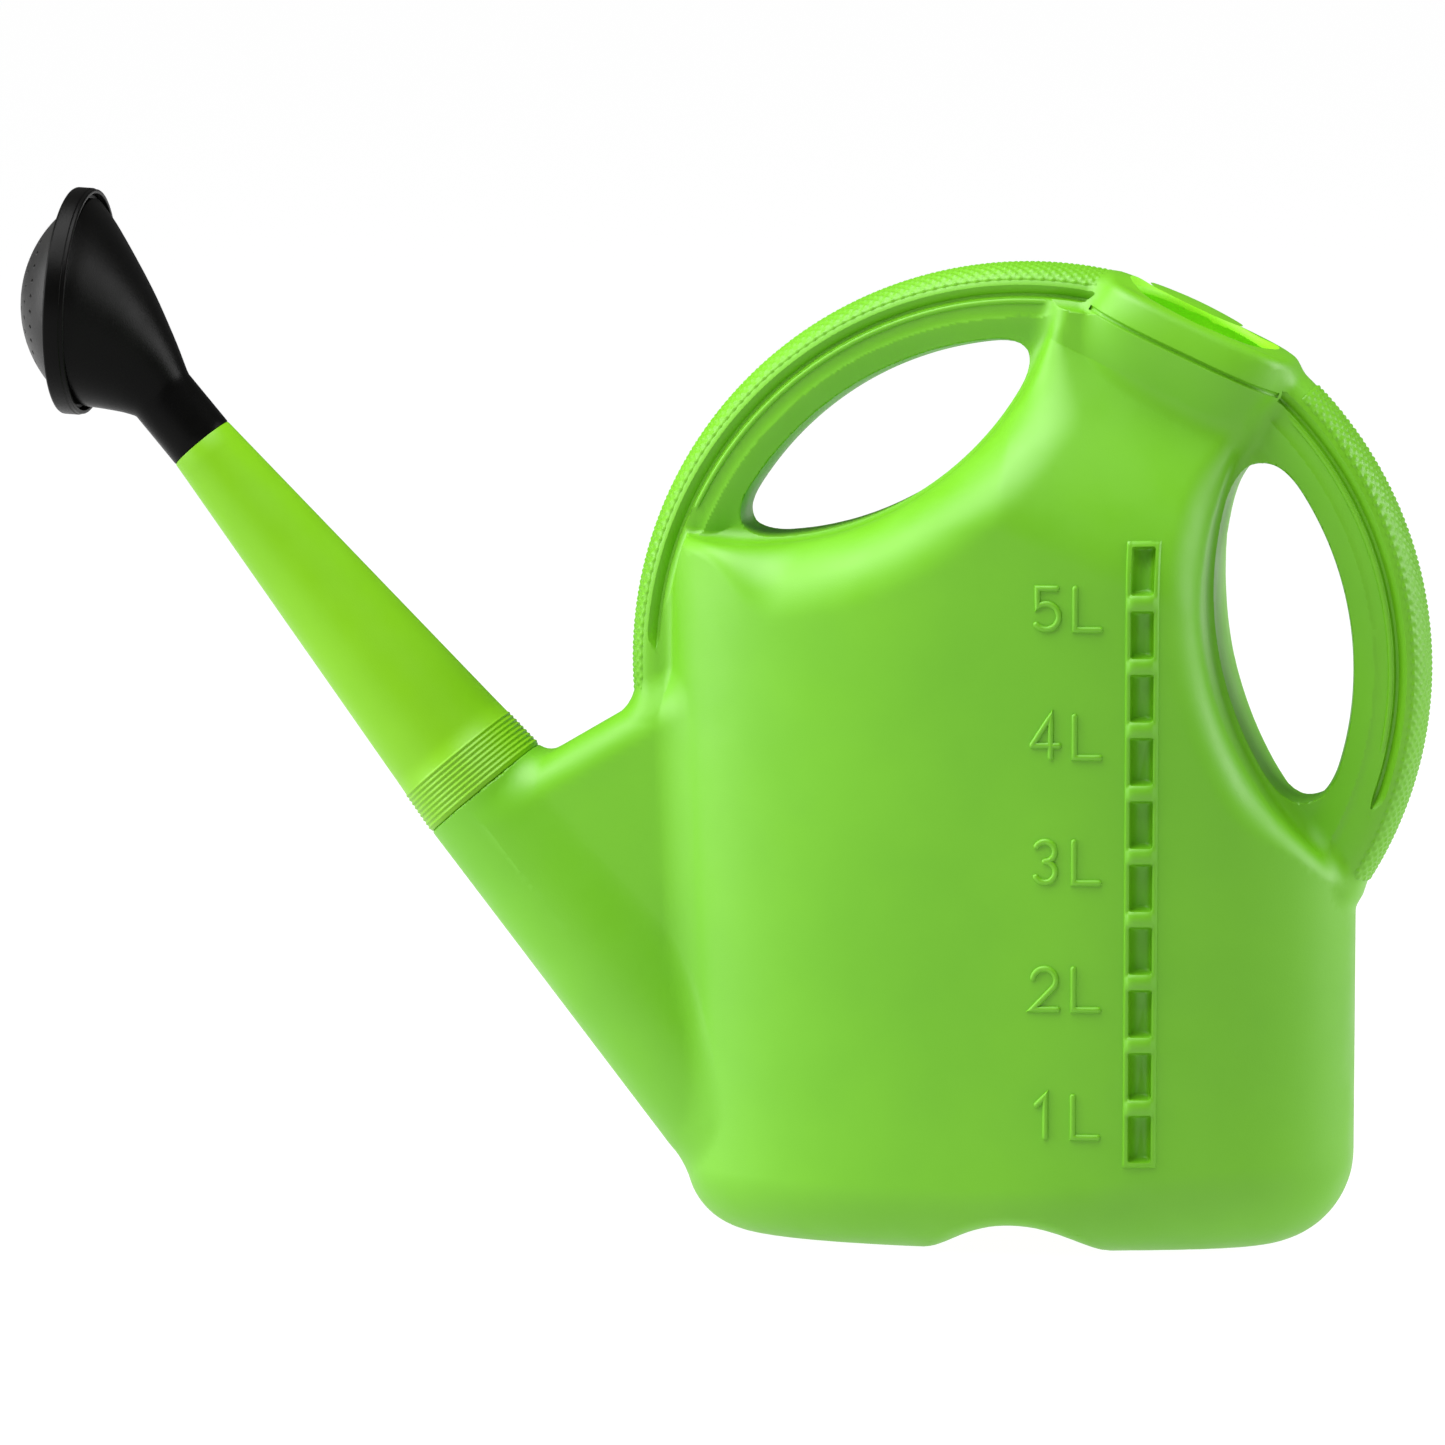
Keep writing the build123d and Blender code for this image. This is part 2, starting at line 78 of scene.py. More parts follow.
# Ring handle.
RING_FROM = radians(-34.5)
RING_TO = radians(188.5)
RING_SPLIT = 129.4
RING_HALF_WIDTH = 16.0
GROOVES = ((78.8, 178.0), (-21.0, 48.0))
BEADS = ((80.0, 157.0), (-14.0, 46.0))

# Filler neck.
NECK_X = 63.0
NECK_Z = 321.5
NECK_SLOPE = radians(24.6)
FILLER_HALF = (26.0, 23.5)
CREASE = -12.5

# Spout: the joints give its line.
joints = {joint["name"]: joint for joint in frame["joints"]}
SPOUT_AXIS = Vector(joints["spout_turn"]["axis"])
JOINT_X = joints["spout_turn"]["pos_m"][0] / MM - TANK_MIDDLE
JOINT_Z = joints["spout_turn"]["pos_m"][2] / MM
JOINT_RADIUS = 24.25
SPIGOT_RADIUS = 20.0
STUB_LENGTH = 138.0
STUB_ROOT_RADIUS = 29.6
STUB_WALL = 3.0

# Notch across the base.
NOTCH_X = 4.0
NOTCH_HALF_WIDTH = 26.0
NOTCH_HEIGHT = 10.6


# Litre gauge and figures on the -Y face.
GAUGE_X = 49.0
GAUGE_FROM = 32.4
GAUGE_PITCH = 21.7
GAUGE_POCKETS = 10
GAUGE_END = 1.2
POCKET_HALF = (3.8, 8.0)
POCKET_DEPTH = 4.0
RAIL_OFFSET = 0.85
RAIL_HALF = 0.95
RAIL_HEIGHT = 0.9
BAR_HALF = 3.2
BAR_HEIGHT = 2.2
LITRE_Z = (50.6, 94.8, 138.6, 181.7, 225.5)
DIGIT_X = 16.4
LETTER_X = 30.3
STROKE_HALF = 1.05
STROKE_HEIGHT = 1.0


# ---------------------------------------------------------------- distance fields, in millimetres


def rounded_cut(a, b, radius):
    """What is in both a and b, with a convex edge of that radius."""
    u = np.maximum(a + radius, 0.0)
    v = np.maximum(b + radius, 0.0)
    return np.minimum(np.maximum(a, b), -radius) + np.hypot(u, v)


def rounded_join(a, b, radius):
    """What is in a or b, with a fillet of that radius between them."""
    u = np.maximum(radius - a, 0.0)
    v = np.maximum(radius - b, 0.0)
    return np.maximum(np.minimum(a, b), radius) - np.hypot(u, v)


def blend(low, high, value):
    """0 below low, 1 above high, and a smooth step between."""
    t = np.clip((value - low) / (high - low), 0.0, 1.0)
    return t * t * (3.0 - 2.0 * t)


def oval(x, y, half_x, half_y, power):
    """Distance to a superellipse, true near its edge."""
    u = np.abs(x) / half_x
    v = np.abs(y) / half_y
    size = np.maximum((u**power + v**power) ** (1.0 / power), 1e-3)
    slope = size ** (1.0 - power) * np.hypot(u ** (power - 1.0) / half_x, v ** (power - 1.0) / half_y)
    slope = np.maximum(slope, 0.3 / np.maximum(half_x, half_y))
    return (size - 1.0) / slope


def neck_axes(x, z):
    """Distances along the neck's slope and out of its sloping top."""
    along = (x - NECK_X) * cos(NECK_SLOPE) - (z - NECK_Z) * sin(NECK_SLOPE)
    out = (x - NECK_X) * sin(NECK_SLOPE) + (z - NECK_Z) * cos(NECK_SLOPE)
    return along, out


def half_depth(x, z):
    """Half of the tank's depth: upright to the shoulder, then in to the waist under the neck."""
    out = neck_axes(np.maximum(x, 0.0), z)[1]
    t = np.clip((out - SHOULDER_OUT) / (WAIST_OUT - SHOULDER_OUT), 0.0, 1.0)
    return TANK_HALF_DEPTH + (WAIST_HALF_DEPTH - TANK_HALF_DEPTH) * t * t * (2.0 - t)


def spout_axes(x, z):
    """Distances along the spout's line from the joint, and across it in the middle plane."""
    along = (x - JOINT_X) * SPOUT_AXIS.x + (z - JOINT_Z) * SPOUT_AXIS.z
    across = (x - JOINT_X) * SPOUT_AXIS.z - (z - JOINT_Z) * SPOUT_AXIS.x
    return along, across


def tank_field(x, y, z, inset=0.0):
    """The water tank with its soft-edged hand openings."""
    depth = half_depth(x, z)
    flared = x / np.where(x < 0.0, 1.0 + LEFT_FLARE * blend(20.0, 190.0, z), 1.0)
    field = oval(flared, y, TANK_HALF_LENGTH, depth, TANK_ROUNDNESS)
    field = rounded_cut(field, -z, FLOOR_RADIUS + 8.0 * blend(0.0, 80.0, x))
    from_ring = np.hypot(x - RING_X, z - RING_Z)
    for cut_x, cut_z, radius, edge in (FRONT_CUT, BACK_CUT):
        soft = TIP_EDGE + (edge - TIP_EDGE) * blend(0.0, 34.0, 119.0 - from_ring)
        field = rounded_cut(field, radius - np.hypot(x - cut_x, z - cut_z), soft)
    along, out = neck_axes(x, z)
    within_ring = np.where(z > RING_Z, from_ring, np.abs(x - RING_X)) - RING_SPLIT + 4.0
    return np.maximum(np.maximum(field, within_ring), out + 14.0) + inset


def ring_field(x, y, z):
    """The hoop of the handle: a full round grip outside and a tapering flank inside."""
    from_ring = np.hypot(x - RING_X, z - RING_Z)
    r = from_ring - RING_SPLIT
    outer = oval(r, y, RING_OUTER - RING_SPLIT, RING_HALF_WIDTH, 2.5)
    inner = oval(r, y, RING_SPLIT - RING_INNER, RING_HALF_WIDTH - 0.4, 2.7)
    field = np.where(r > 0.0, outer, inner)
    start = (z - RING_Z) * cos(RING_FROM) - (x - RING_X) * sin(RING_FROM)
    end = (x - RING_X) * sin(RING_TO) - (z - RING_Z) * cos(RING_TO)
    return rounded_cut(field, np.minimum(-start, -end), 2.0)


def neck_field(x, y, z, inset=0.0):
    """The filler neck: flat sloping top, a crease at its widest, and a face that goes back in."""
    along, out = neck_axes(x, z)
    above = np.clip((out - CREASE) / -CREASE, 0.0, 1.0)
    below = np.clip((CREASE - out) / 19.0, 0.0, 1.6)
    half_width = 30.0 - 3.6 * above**1.5 - 8.5 * below
    half_length = 37.5 - 1.5 * above**1.5 - 3.0 * below
    field = oval(along, y, half_length, half_width, 3.2)
    field = rounded_cut(field, out, 3.2)
    return rounded_cut(field, CREASE - 24.0 - out, 3.0) + inset


def tips_field(x, y, z):
    """The rounded webs in the sharp ends of the two hand openings."""
    from_ring = np.hypot(x - RING_X, z - RING_Z) - RING_INNER
    field = np.full_like(from_ring, 50.0)
    for (cut_x, cut_z, radius, _), tip_radius in zip((FRONT_CUT, BACK_CUT), TIP_RADII):
        from_cut = np.hypot(x - cut_x, z - cut_z) - radius
        tip = np.maximum(-rounded_cut(from_ring, from_cut, tip_radius), np.abs(y) - TIP_HALF_WIDTH)
        field = np.minimum(field, np.maximum(tip, np.maximum(from_ring, from_cut) - 4.0))
    return field


def stub_field(x, y, z, wall=0.0):
    """The stub, a slightly tapering pipe with a round root inside the tank."""
    along, across = spout_axes(x, z)
    taper = (STUB_ROOT_RADIUS - JOINT_RADIUS) / STUB_LENGTH
    radius = JOINT_RADIUS - taper * along
    pipe = (np.hypot(across, y) - radius) * cos(taper)
    pipe = np.maximum(pipe, -STUB_LENGTH - along)
    pipe = rounded_cut(pipe, along, 0.6)
    root = np.sqrt(across**2 + y**2 + (along + STUB_LENGTH) ** 2) - STUB_ROOT_RADIUS
    return np.minimum(pipe, root) + wall


def web_field(x, y, z):
    """The web that fills the corner between the stub, the tank and the ring's front end."""
    top = (x + 137.5) * -0.508 + (z - 183.0) * 0.861
    along, across = spout_axes(x, z)
    field = rounded_cut(top, np.abs(y) - 22.0, 13.0)
    field = np.maximum(field, -across)
    return np.maximum(field, x + 96.0)


def notch_field(x, z):
    """The space outside the round bar that cuts the base."""
    radius = (NOTCH_HALF_WIDTH**2 + NOTCH_HEIGHT**2) / (2.0 * NOTCH_HEIGHT)
    return radius - np.hypot(x - NOTCH_X, z - NOTCH_HEIGHT + radius)


def face_y(x, z):
    """Where the tank's face with the gauge, -Y, is at each place across it."""
    across = np.minimum(np.abs(x) / TANK_HALF_LENGTH, 1.0)
    return -half_depth(x, z) * (1.0 - across**TANK_ROUNDNESS) ** (1.0 / TANK_ROUNDNESS)


def gauge_backing(x, y, z):
    """The thickness behind the gauge pockets."""
    half_height = GAUGE_PITCH * GAUGE_POCKETS / 2.0
    middle = GAUGE_FROM + half_height
    strip = np.maximum(np.abs(x - GAUGE_X) - POCKET_HALF[0] - WALL, np.abs(z - middle) - half_height - WALL)
    return np.maximum(strip, y - face_y(x, z) - POCKET_DEPTH - WALL)


def outer_field(x, y, z):
    """The whole moulding's outer skin."""
    corner = 7.0 - 4.0 * blend(-70.0, -100.0, x)
    field = rounded_join(tank_field(x, y, z), ring_field(x, y, z), corner)
    field = rounded_join(field, tips_field(x, y, z), 6.0)
    field = rounded_join(field, web_field(x, y, z), 7.0)
    field = rounded_join(field, stub_field(x, y, z), 5.0)
    field = rounded_join(field, neck_field(x, y, z), 4.0)
    return rounded_cut(field, notch_field(x, z), 5.0)


def water_field(x, y, z):
    """The space inside: tank, neck and stub, a wall's thickness in."""
    field = rounded_join(tank_field(x, y, z, WALL), neck_field(x, y, z, WALL), 3.0)
    field = rounded_cut(field, notch_field(x, z) + WALL, 5.0)
    field = rounded_cut(field, WALL - z, 8.0)
    field = np.maximum(field, -gauge_backing(x, y, z))
    stub = np.maximum(stub_field(x, y, z, STUB_WALL), spout_axes(x, z)[0] + 2.0)
    return rounded_join(field, stub, 4.0)


# ---------------------------------------------------------------- meshes from fields


def net(field, low, high, pitch):
    """A quad mesh round the inside of a field: one point in each cell that the surface crosses."""
    axes = [np.arange(a, b + pitch, pitch) for a, b in zip(low, high)]
    grid = np.meshgrid(*axes, indexing="ij")
    value = field(*[g.ravel() for g in grid]).reshape(grid[0].shape)
    inside = value < 0.0
    cells = tuple(n - 1 for n in value.shape)

    def corner(array, offset):
        return array[tuple(slice(o, o + n) for o, n in zip(offset, cells))]

    corners = [(i, j, k) for i in (0, 1) for j in (0, 1) for k in (0, 1)]
    count = sum(corner(inside, c).astype(int) for c in corners)
    active = (count > 0) & (count < 8)
    number = np.full(cells, -1)
    number[active] = np.arange(active.sum())
    total = np.zeros((active.sum(), 3))
    hits = np.zeros(active.sum())
    for axis in range(3):
        for c in corners:
            if c[axis]:
                continue
            far = tuple(o + (i == axis) for i, o in enumerate(c))
            a = corner(value, c)[active]
            b = corner(value, far)[active]
            crossed = (a < 0.0) != (b < 0.0)
            place = np.tile(np.array(c, float), (len(a), 1))
            place[:, axis] += np.where(crossed, a / np.where(a == b, 1.0, a - b), 0.0)
            total += place * crossed[:, None]
            hits += crossed
    points = (np.argwhere(active) + total / hits[:, None]) * pitch + np.array(low)

    quads = []
    for axis in range(3):
        u, v = (axis + 1) % 3, (axis + 2) % 3
        inner = [slice(1, -1)] * 3
        inner[axis] = slice(0, -1)
        further = list(inner)
        further[axis] = slice(1, None)
        here = inside[tuple(inner)]
        change = here != inside[tuple(further)]
        at = np.argwhere(change) + np.array([0 if i == axis else 1 for i in range(3)])
        outward = here[change]
        ring = []
        for du, dv in ((0, 0), (-1, 0), (-1, -1), (0, -1)):
            cell = at.copy()
            cell[:, u] += du
            cell[:, v] += dv
            ring.append(number[cell[:, 0], cell[:, 1], cell[:, 2]])
        faces = np.stack(ring, axis=1)
        faces[~outward] = faces[~outward][:, ::-1]
        quads.append(faces)
    return points, np.concatenate(quads)


def gradient(field, points, step=0.04):
    """The field's direction of growth at each point."""
    slope = np.empty_like(points)
    for axis in range(3):
        shift = np.zeros(3)
        shift[axis] = step
        slope[:, axis] = (field(*(points + shift).T) - field(*(points - shift).T)) / (2.0 * step)
    return slope


def settle(field, points, rounds=4):
    """Moves points onto the field's surface."""
    for _ in range(rounds):
        slope = gradient(field, points)
        length = np.maximum((slope**2).sum(1), 0.05)
        points = points - np.clip(field(*points.T), -1.5, 1.5)[:, None] * slope / length[:, None]
    return points


def relax(points, quads, share=0.5):
    """Evens out the spacing of points."""
    total = np.zeros_like(points)
    count = np.zeros(len(points))
    for i in range(4):
        a, b = quads[:, i], quads[:, (i + 1) % 4]
        np.add.at(total, a, points[b])
        np.add.at(total, b, points[a])
        np.add.at(count, a, 1)
        np.add.at(count, b, 1)
    return points + share * (total / count[:, None] - points)


def to_frame(points):
    """Millimetres about the tank's middle to metres in the frame."""
    moved = np.array(points, float) + np.array([TANK_MIDDLE, 0.0, 0.0])
    return moved * MM


def from_frame(points):
    return np.array(points, float) / MM - np.array([TANK_MIDDLE, 0.0, 0.0])


def new_object(name, points, faces):
    mesh = bpy.data.meshes.new(name)
    mesh.from_pydata([tuple(p) for p in to_frame(points)], [], [tuple(int(i) for i in f) for f in faces])
    mesh.validate()
    obj = bpy.data.objects.new(name, mesh)
    bpy.context.scene.collection.objects.link(obj)
    return obj


def mesh_points(obj):
    flat = np.empty(len(obj.data.vertices) * 3)
    obj.data.vertices.foreach_get("co", flat)
    return from_frame(flat.reshape(-1, 3))


def refine(obj, field, turn, rounds, region=None):
    """Divides the faces across which the surface turns by more than an angle, and settles them."""
    for _ in range(rounds):
        points = mesh_points(obj)
        normals = gradient(field, points)
        normals /= np.maximum(np.linalg.norm(normals, axis=1), 1e-6)[:, None]
        work = bmesh.new()
        work.from_mesh(obj.data)
        work.verts.ensure_lookup_table()
        edges = set()
        limit = cos(turn)
        for face in work.faces:
            ids = [v.index for v in face.verts]
            n = normals[ids]
            if (n @ n.T).min() < limit and (region is None or region(points[ids].mean(0))):
                edges.update(face.edges)
        bmesh.ops.subdivide_edges(work, edges=list(edges), cuts=1, use_grid_fill=True)
        work.to_mesh(obj.data)
        work.free()
        flat = to_frame(settle(field, mesh_points(obj), 3)).ravel()
        obj.data.vertices.foreach_set("co", flat)
    obj.data.update()


def field_object(name, field, low, high, pitch):
    points, quads = net(field, low, high, pitch)
    for _ in range(3):
        points = settle(field, relax(points, quads), 2)
    return new_object(name, settle(field, points), quads)


def boolean(obj, tools, operation):
    """Joins tools to obj, or cuts them out, and deletes them."""
    for tool in tools:
        modifier = obj.modifiers.new("tool", "BOOLEAN")
        modifier.operation = operation
        modifier.solver = "MANIFOLD"
        modifier.material_mode = "TRANSFER"
        modifier.object = tool
    graph = bpy.context.evaluated_depsgraph_get()
    result = bpy.data.meshes.new_from_object(obj.evaluated_get(graph))
    obj.modifiers.clear()
    old = obj.data
    obj.data = result
    result.name = obj.name
    bpy.data.meshes.remove(old)
    for tool in tools:
        mesh = tool.data
        bpy.data.objects.remove(tool)
        bpy.data.meshes.remove(mesh)


def smooth(obj, field=None, edge=35.0):
    """Smooth shading with crisp edges. Where a face lies on the field its normals are the field's own."""
    mesh = obj.data
    mesh.shade_smooth()
    mesh.set_sharp_from_angle(angle=radians(edge))
    if field is None:
        return
    corner = np.empty(len(mesh.loops) * 3, np.float32)
    mesh.corner_normals.foreach_get("vector", corner)
    corner = corner.reshape(-1, 3)
    index = np.empty(len(mesh.loops), np.int32)
    mesh.loops.foreach_get("vertex_index", index)
    points = mesh_points(obj)
    off = np.abs(field(*points.T))
    true = gradient(field, points)
    true /= np.maximum(np.linalg.norm(true, axis=1), 1e-6)[:, None]
    own = true[index]
    near = ((corner * own).sum(1) > cos(radians(30.0))) & (off[index] < 0.15)
    corner[near] = own[near]
    mesh.normals_split_custom_set([tuple(n) for n in corner])


# ---------------------------------------------------------------- structured meshes


def skin(rows, closed_rows=False, caps=True):
    """A mesh over rows of points, each row a closed loop. caps fills the first and last row."""
    rows = [np.asarray(row, float) for row in rows]
    size = len(rows[0])
    faces = []
    count = len(rows) if closed_rows else len(rows) - 1
    for r in range(count):
        a = r * size
        b = ((r + 1) % len(rows)) * size
        for i in range(size):
            j = (i + 1) % size
            faces.append((a + i, a + j, b + j, b + i))
    if caps and not closed_rows:
        faces.append(tuple(range(size))[::-1])
        last = (len(rows) - 1) * size
        faces.append(tuple(last + i for i in range(size)))
    return np.concatenate(rows), faces


def outward(obj):
    """Turns every face outwards."""
    work = bmesh.new()
    work.from_mesh(obj.data)
    bmesh.ops.recalc_face_normals(work, faces=work.faces)
    work.to_mesh(obj.data)
    work.free()
    return obj


def lathe(name, outline, origin, axis, segments=128):
    """Turns a closed outline of (radius, height) about an axis in the middle plane."""
    side = Vector((axis.z, 0.0, -axis.x))
    rows = []
    for radius, height in outline:
        centre = np.array(origin) + np.array(axis) * height
        angles = np.arange(segments) * 2.0 * pi / segments
        turned = np.cos(angles)[:, None] * np.array(side) + np.sin(angles)[:, None] * np.array([0, 1, 0])
        rows.append(centre + radius * turned)
    points, faces = skin(rows, closed_rows=True)
    return outward(new_object(name, points, faces))


def rounded(points, radius, steps=4):
    """Rounds the corners of a closed outline. A point may carry its own radius as a third value."""
    result = []
    count = len(points)
    for i, point in enumerate(points):
        here = np.array(point[:2], float)
        before = np.array(points[i - 1][:2], float) - here
        after = np.array(points[(i + 1) % count][:2], float) - here
        r = point[2] if len(point) > 2 else radius
        la, lb = np.linalg.norm(before), np.linalg.norm(after)
        before, after = before / la, after / lb
        half = acos(max(-1.0, min(1.0, float(before @ after)))) / 2.0
        if r <= 0.0 or half > radians(86.0) or half < radians(4.0):
            result.append(tuple(here))
            continue
        back = min(r * cos(half) / sin(half), 0.45 * la, 0.45 * lb)
        r = back * sin(half) / cos(half)
        middle = here + (before + after) / np.linalg.norm(before + after) * (r / sin(half))
        start, end = here + before * back, here + after * back
        for step in range(steps + 1):
            t = step / steps
            direction = (start - middle) * (1.0 - t) + (end - middle) * t
            result.append(tuple(middle + direction / np.linalg.norm(direction) * r))
    return result


def tube(name, path, across, up, sides=12):
    """A closed rod with oval ends along a path of (point, normal, binormal)."""
    rows = []
    for point, normal, binormal in path:
        rows.append(
            [
                np.array(point) + across * cos(a) * np.array(binormal) + up * sin(a) * np.array(normal)
                for a in np.arange(sides) * 2.0 * pi / sides
            ]
        )
    points, faces = skin(rows)
    return outward(new_object(name, points, faces))


def on_face(x, z, out):
    """A point that stands out from the tank's -Y face."""
    return (x, float(face_y(x, z)) - out, z)


# ---------------------------------------------------------------- the litre gauge and figures


def rounded_box_loop(half_x, half_z, corner, steps=4):
    outline = [(-half_x, -half_z), (half_x, -half_z), (half_x, half_z), (-half_x, half_z)]
    loop = rounded(outline, corner, steps)
    result = []
    for i, a in enumerate(loop):
        b = loop[(i + 1) % len(loop)]
        parts = max(1, int(round(np.hypot(b[0] - a[0], b[1] - a[1]) / 2.5)))
        for step in range(parts):
            t = step / parts
            result.append((a[0] + (b[0] - a[0]) * t, a[1] + (b[1] - a[1]) * t))
    return result


def pocket_plug(centre_z):
    """The cutter of one pocket: a soft mouth, then a channel that rounds in to its floor."""
    levels = [(3.2, 0.25, 0.3), (1.4, 0.2, 0.25), (0.5, 0.15, 0.2), (0.1, 0.05, 0.1), (-0.6, -0.1, 0.0)]
    levels += [(-1.6, -0.3, -0.2), (-2.6, -0.8, -0.5), (-3.4, -1.5, -0.8), (-POCKET_DEPTH, -2.5, -1.3)]
    corner = 0.9
    rows = []
    for out, grow_x, grow_z in levels:
        row = []
        for x, z in rounded_box_loop(*POCKET_HALF, corner):
            away_x = np.sign(x) * min(1.0, abs(x) / (POCKET_HALF[0] - corner))
            away_z = np.sign(z) * min(1.0, abs(z) / (POCKET_HALF[1] - corner))
            row.append(on_face(GAUGE_X + x + grow_x * away_x, centre_z + z + grow_z * away_z, out))
        rows.append(row)
    points, faces = skin(rows)
    return outward(new_object("plug", points, faces))


def gauge_plugs():
    return [pocket_plug(GAUGE_FROM + GAUGE_PITCH * (step + 0.5)) for step in range(GAUGE_POCKETS)]


def gauge_frame():
    """The raised edge of the gauge strip and the domed bars between its pockets."""
    rail = POCKET_HALF[0] + RAIL_OFFSET
    low = GAUGE_FROM + GAUGE_END
    high = GAUGE_FROM + GAUGE_PITCH * GAUGE_POCKETS - GAUGE_END
    xs = [-rail + t for t in (-1.2, -0.9, -0.55, 0.0, 0.55)]
    xs += [-POCKET_HALF[0] * t for t in (1.0, 0.75, 0.5, 0.25, 0.0)]
    xs += [-x for x in reversed(xs[:-1])]
    zs = list(np.arange(low - 0.8, high + 0.81, 0.62))

    def height(x, z):
        edge = RAIL_HEIGHT * max(0.0, 1.0 - ((abs(x) - rail) / RAIL_HALF) ** 2) ** 0.5
        beat = (z - GAUGE_FROM) / GAUGE_PITCH
        middle = abs(beat - round(beat)) * GAUGE_PITCH
        side_fall = max(0.0, 1.0 - (abs(x) / (rail + 0.6)) ** 6)
        bar = BAR_HEIGHT * side_fall * max(0.0, 1.0 - (middle / BAR_HALF) ** 2) ** 0.5
        if beat < 0.5 or beat > GAUGE_POCKETS - 0.5:
            bar = RAIL_HEIGHT * side_fall
        ends = min(z - low, high - z)
        fade = min(1.0, max(0.0, (ends + 0.5) / 0.9))
        value = max(edge, bar) * fade
        return value if value > 0.02 else -0.5

    top = [[on_face(GAUGE_X + x, z, height(x, z)) for x in xs] for z in zs]
    bottom = [[on_face(GAUGE_X + x, z, -1.2) for x in xs] for z in zs]
    rows = [list(t) + list(reversed(b)) for t, b in zip(top, bottom)]
    points, faces = skin(rows)
    return outward(new_object("gauge_frame", points, faces))


def arc(centre, radius, start, turn):
    steps = max(4, int(abs(turn) / 12.0))
    angles = [radians(start + turn * i / steps) for i in range(steps + 1)]
    return [(centre[0] + radius * cos(a), centre[1] + radius * sin(a)) for a in angles]


def figure_lines(symbol):
    """Centre lines of a plain figure, 14 high and about 9 wide, about its middle."""
    if symbol == "1":
        return [[(-2.5, 4.0), (0.5, 7.0), (0.5, -7.0)]]
    if symbol == "2":
        return [arc((0.0, 3.0), 4.0, 170.0, -205.0) + [(-4.0, -7.0), (4.5, -7.0)]]
    if symbol == "3":
        upper = arc((0.0, 3.6), 3.4, 150.0, -240.0)
        return [upper, arc((0.0, -3.4), 3.6, 90.0, -240.0)]
    if symbol == "4":
        return [[(1.8, -7.0), (1.8, 7.0), (-4.5, -3.0)], [(-4.5, -3.0), (4.5, -3.0)]]
    if symbol == "5":
        bowl = arc((0.0, -2.6), 4.4, 130.0, -270.0)
        return [[(3.5, 7.0), (-3.0, 7.0)] + bowl]
    return [[(-4.0, 7.0), (-4.0, -7.0), (4.5, -7.0)]]


def stroke(line, x, z):
    """A raised rib with round ends along a line of the figure."""
    points = []
    for a, b in zip(line, line[1:]):
        parts = max(1, int(np.hypot(b[0] - a[0], b[1] - a[1]) / 1.6))
        for i in range(parts):
            points.append((a[0] + (b[0] - a[0]) * i / parts, a[1] + (b[1] - a[1]) * i / parts))
    points.append(line[-1])
    points = np.array(points)
    rows = []
    sides = 14
    cap = ((0.4, 0.92), (0.75, 0.66), (0.97, 0.24))
    count = len(points)
    for i in range(count):
        before = points[max(i - 1, 0)]
        after = points[min(i + 1, count - 1)]
        incoming = points[i] - before if i else after - points[i]
        outgoing = after - points[i] if i < count - 1 else incoming
        incoming = incoming / np.linalg.norm(incoming)
        outgoing = outgoing / np.linalg.norm(outgoing)
        tangent = (incoming + outgoing) / np.linalg.norm(incoming + outgoing)
        stretch = 1.0 / max(0.4, float(tangent @ incoming))
        side = np.array([-tangent[1], tangent[0]])
        ends = [(points[i], 1.0)]
        if i == 0:
            ends = [(points[i] - tangent * STROKE_HALF * t, s) for t, s in reversed(cap)]
            ends.append((points[i], 1.0))
        if i == count - 1:
            ends = [(points[i], 1.0)]
            ends += [(points[i] + tangent * STROKE_HALF * t, s) for t, s in cap]
        for place, size in ends:
            row = []
            for a in np.arange(sides) * 2.0 * pi / sides:
                px, pz = place + side * STROKE_HALF * stretch * size * cos(a)
                row.append(on_face(x + px, z + pz, STROKE_HEIGHT * size * sin(a)))
            rows.append(row)
    mesh_pts, faces = skin(rows)
    return outward(new_object("stroke", mesh_pts, faces))


def figures():
    ribs = []
    for litres, z in enumerate(LITRE_Z, start=1):
        for symbol, x in ((str(litres), DIGIT_X), ("L", LETTER_X)):
            for line in figure_lines(symbol):
                ribs.append(stroke(line, x, z))
    return ribs


# ---------------------------------------------------------------- the tank


def filler_cutter():
    """The oval filler opening, with a rounded lip."""
    levels = [(3.0, 3.4), (0.4, 1.5), (-0.15, 0.75), (-0.9, 0.25), (-2.0, 0.0), (-9.0, 0.0)]
    rows = []
    for out, growth in levels:
        row = []
        for step in range(120):
            a = 2.0 * pi * step / 120
            along = (FILLER_HALF[0] + growth) * cos(a)
            y = (FILLER_HALF[1] + growth) * sin(a)
            x = NECK_X + along * cos(NECK_SLOPE) + out * sin(NECK_SLOPE)
            z = NECK_Z - along * sin(NECK_SLOPE) + out * cos(NECK_SLOPE)
            row.append((x, y, z))
        rows.append(row)
    points, faces = skin(rows)
    return outward(new_object("filler", points, faces))


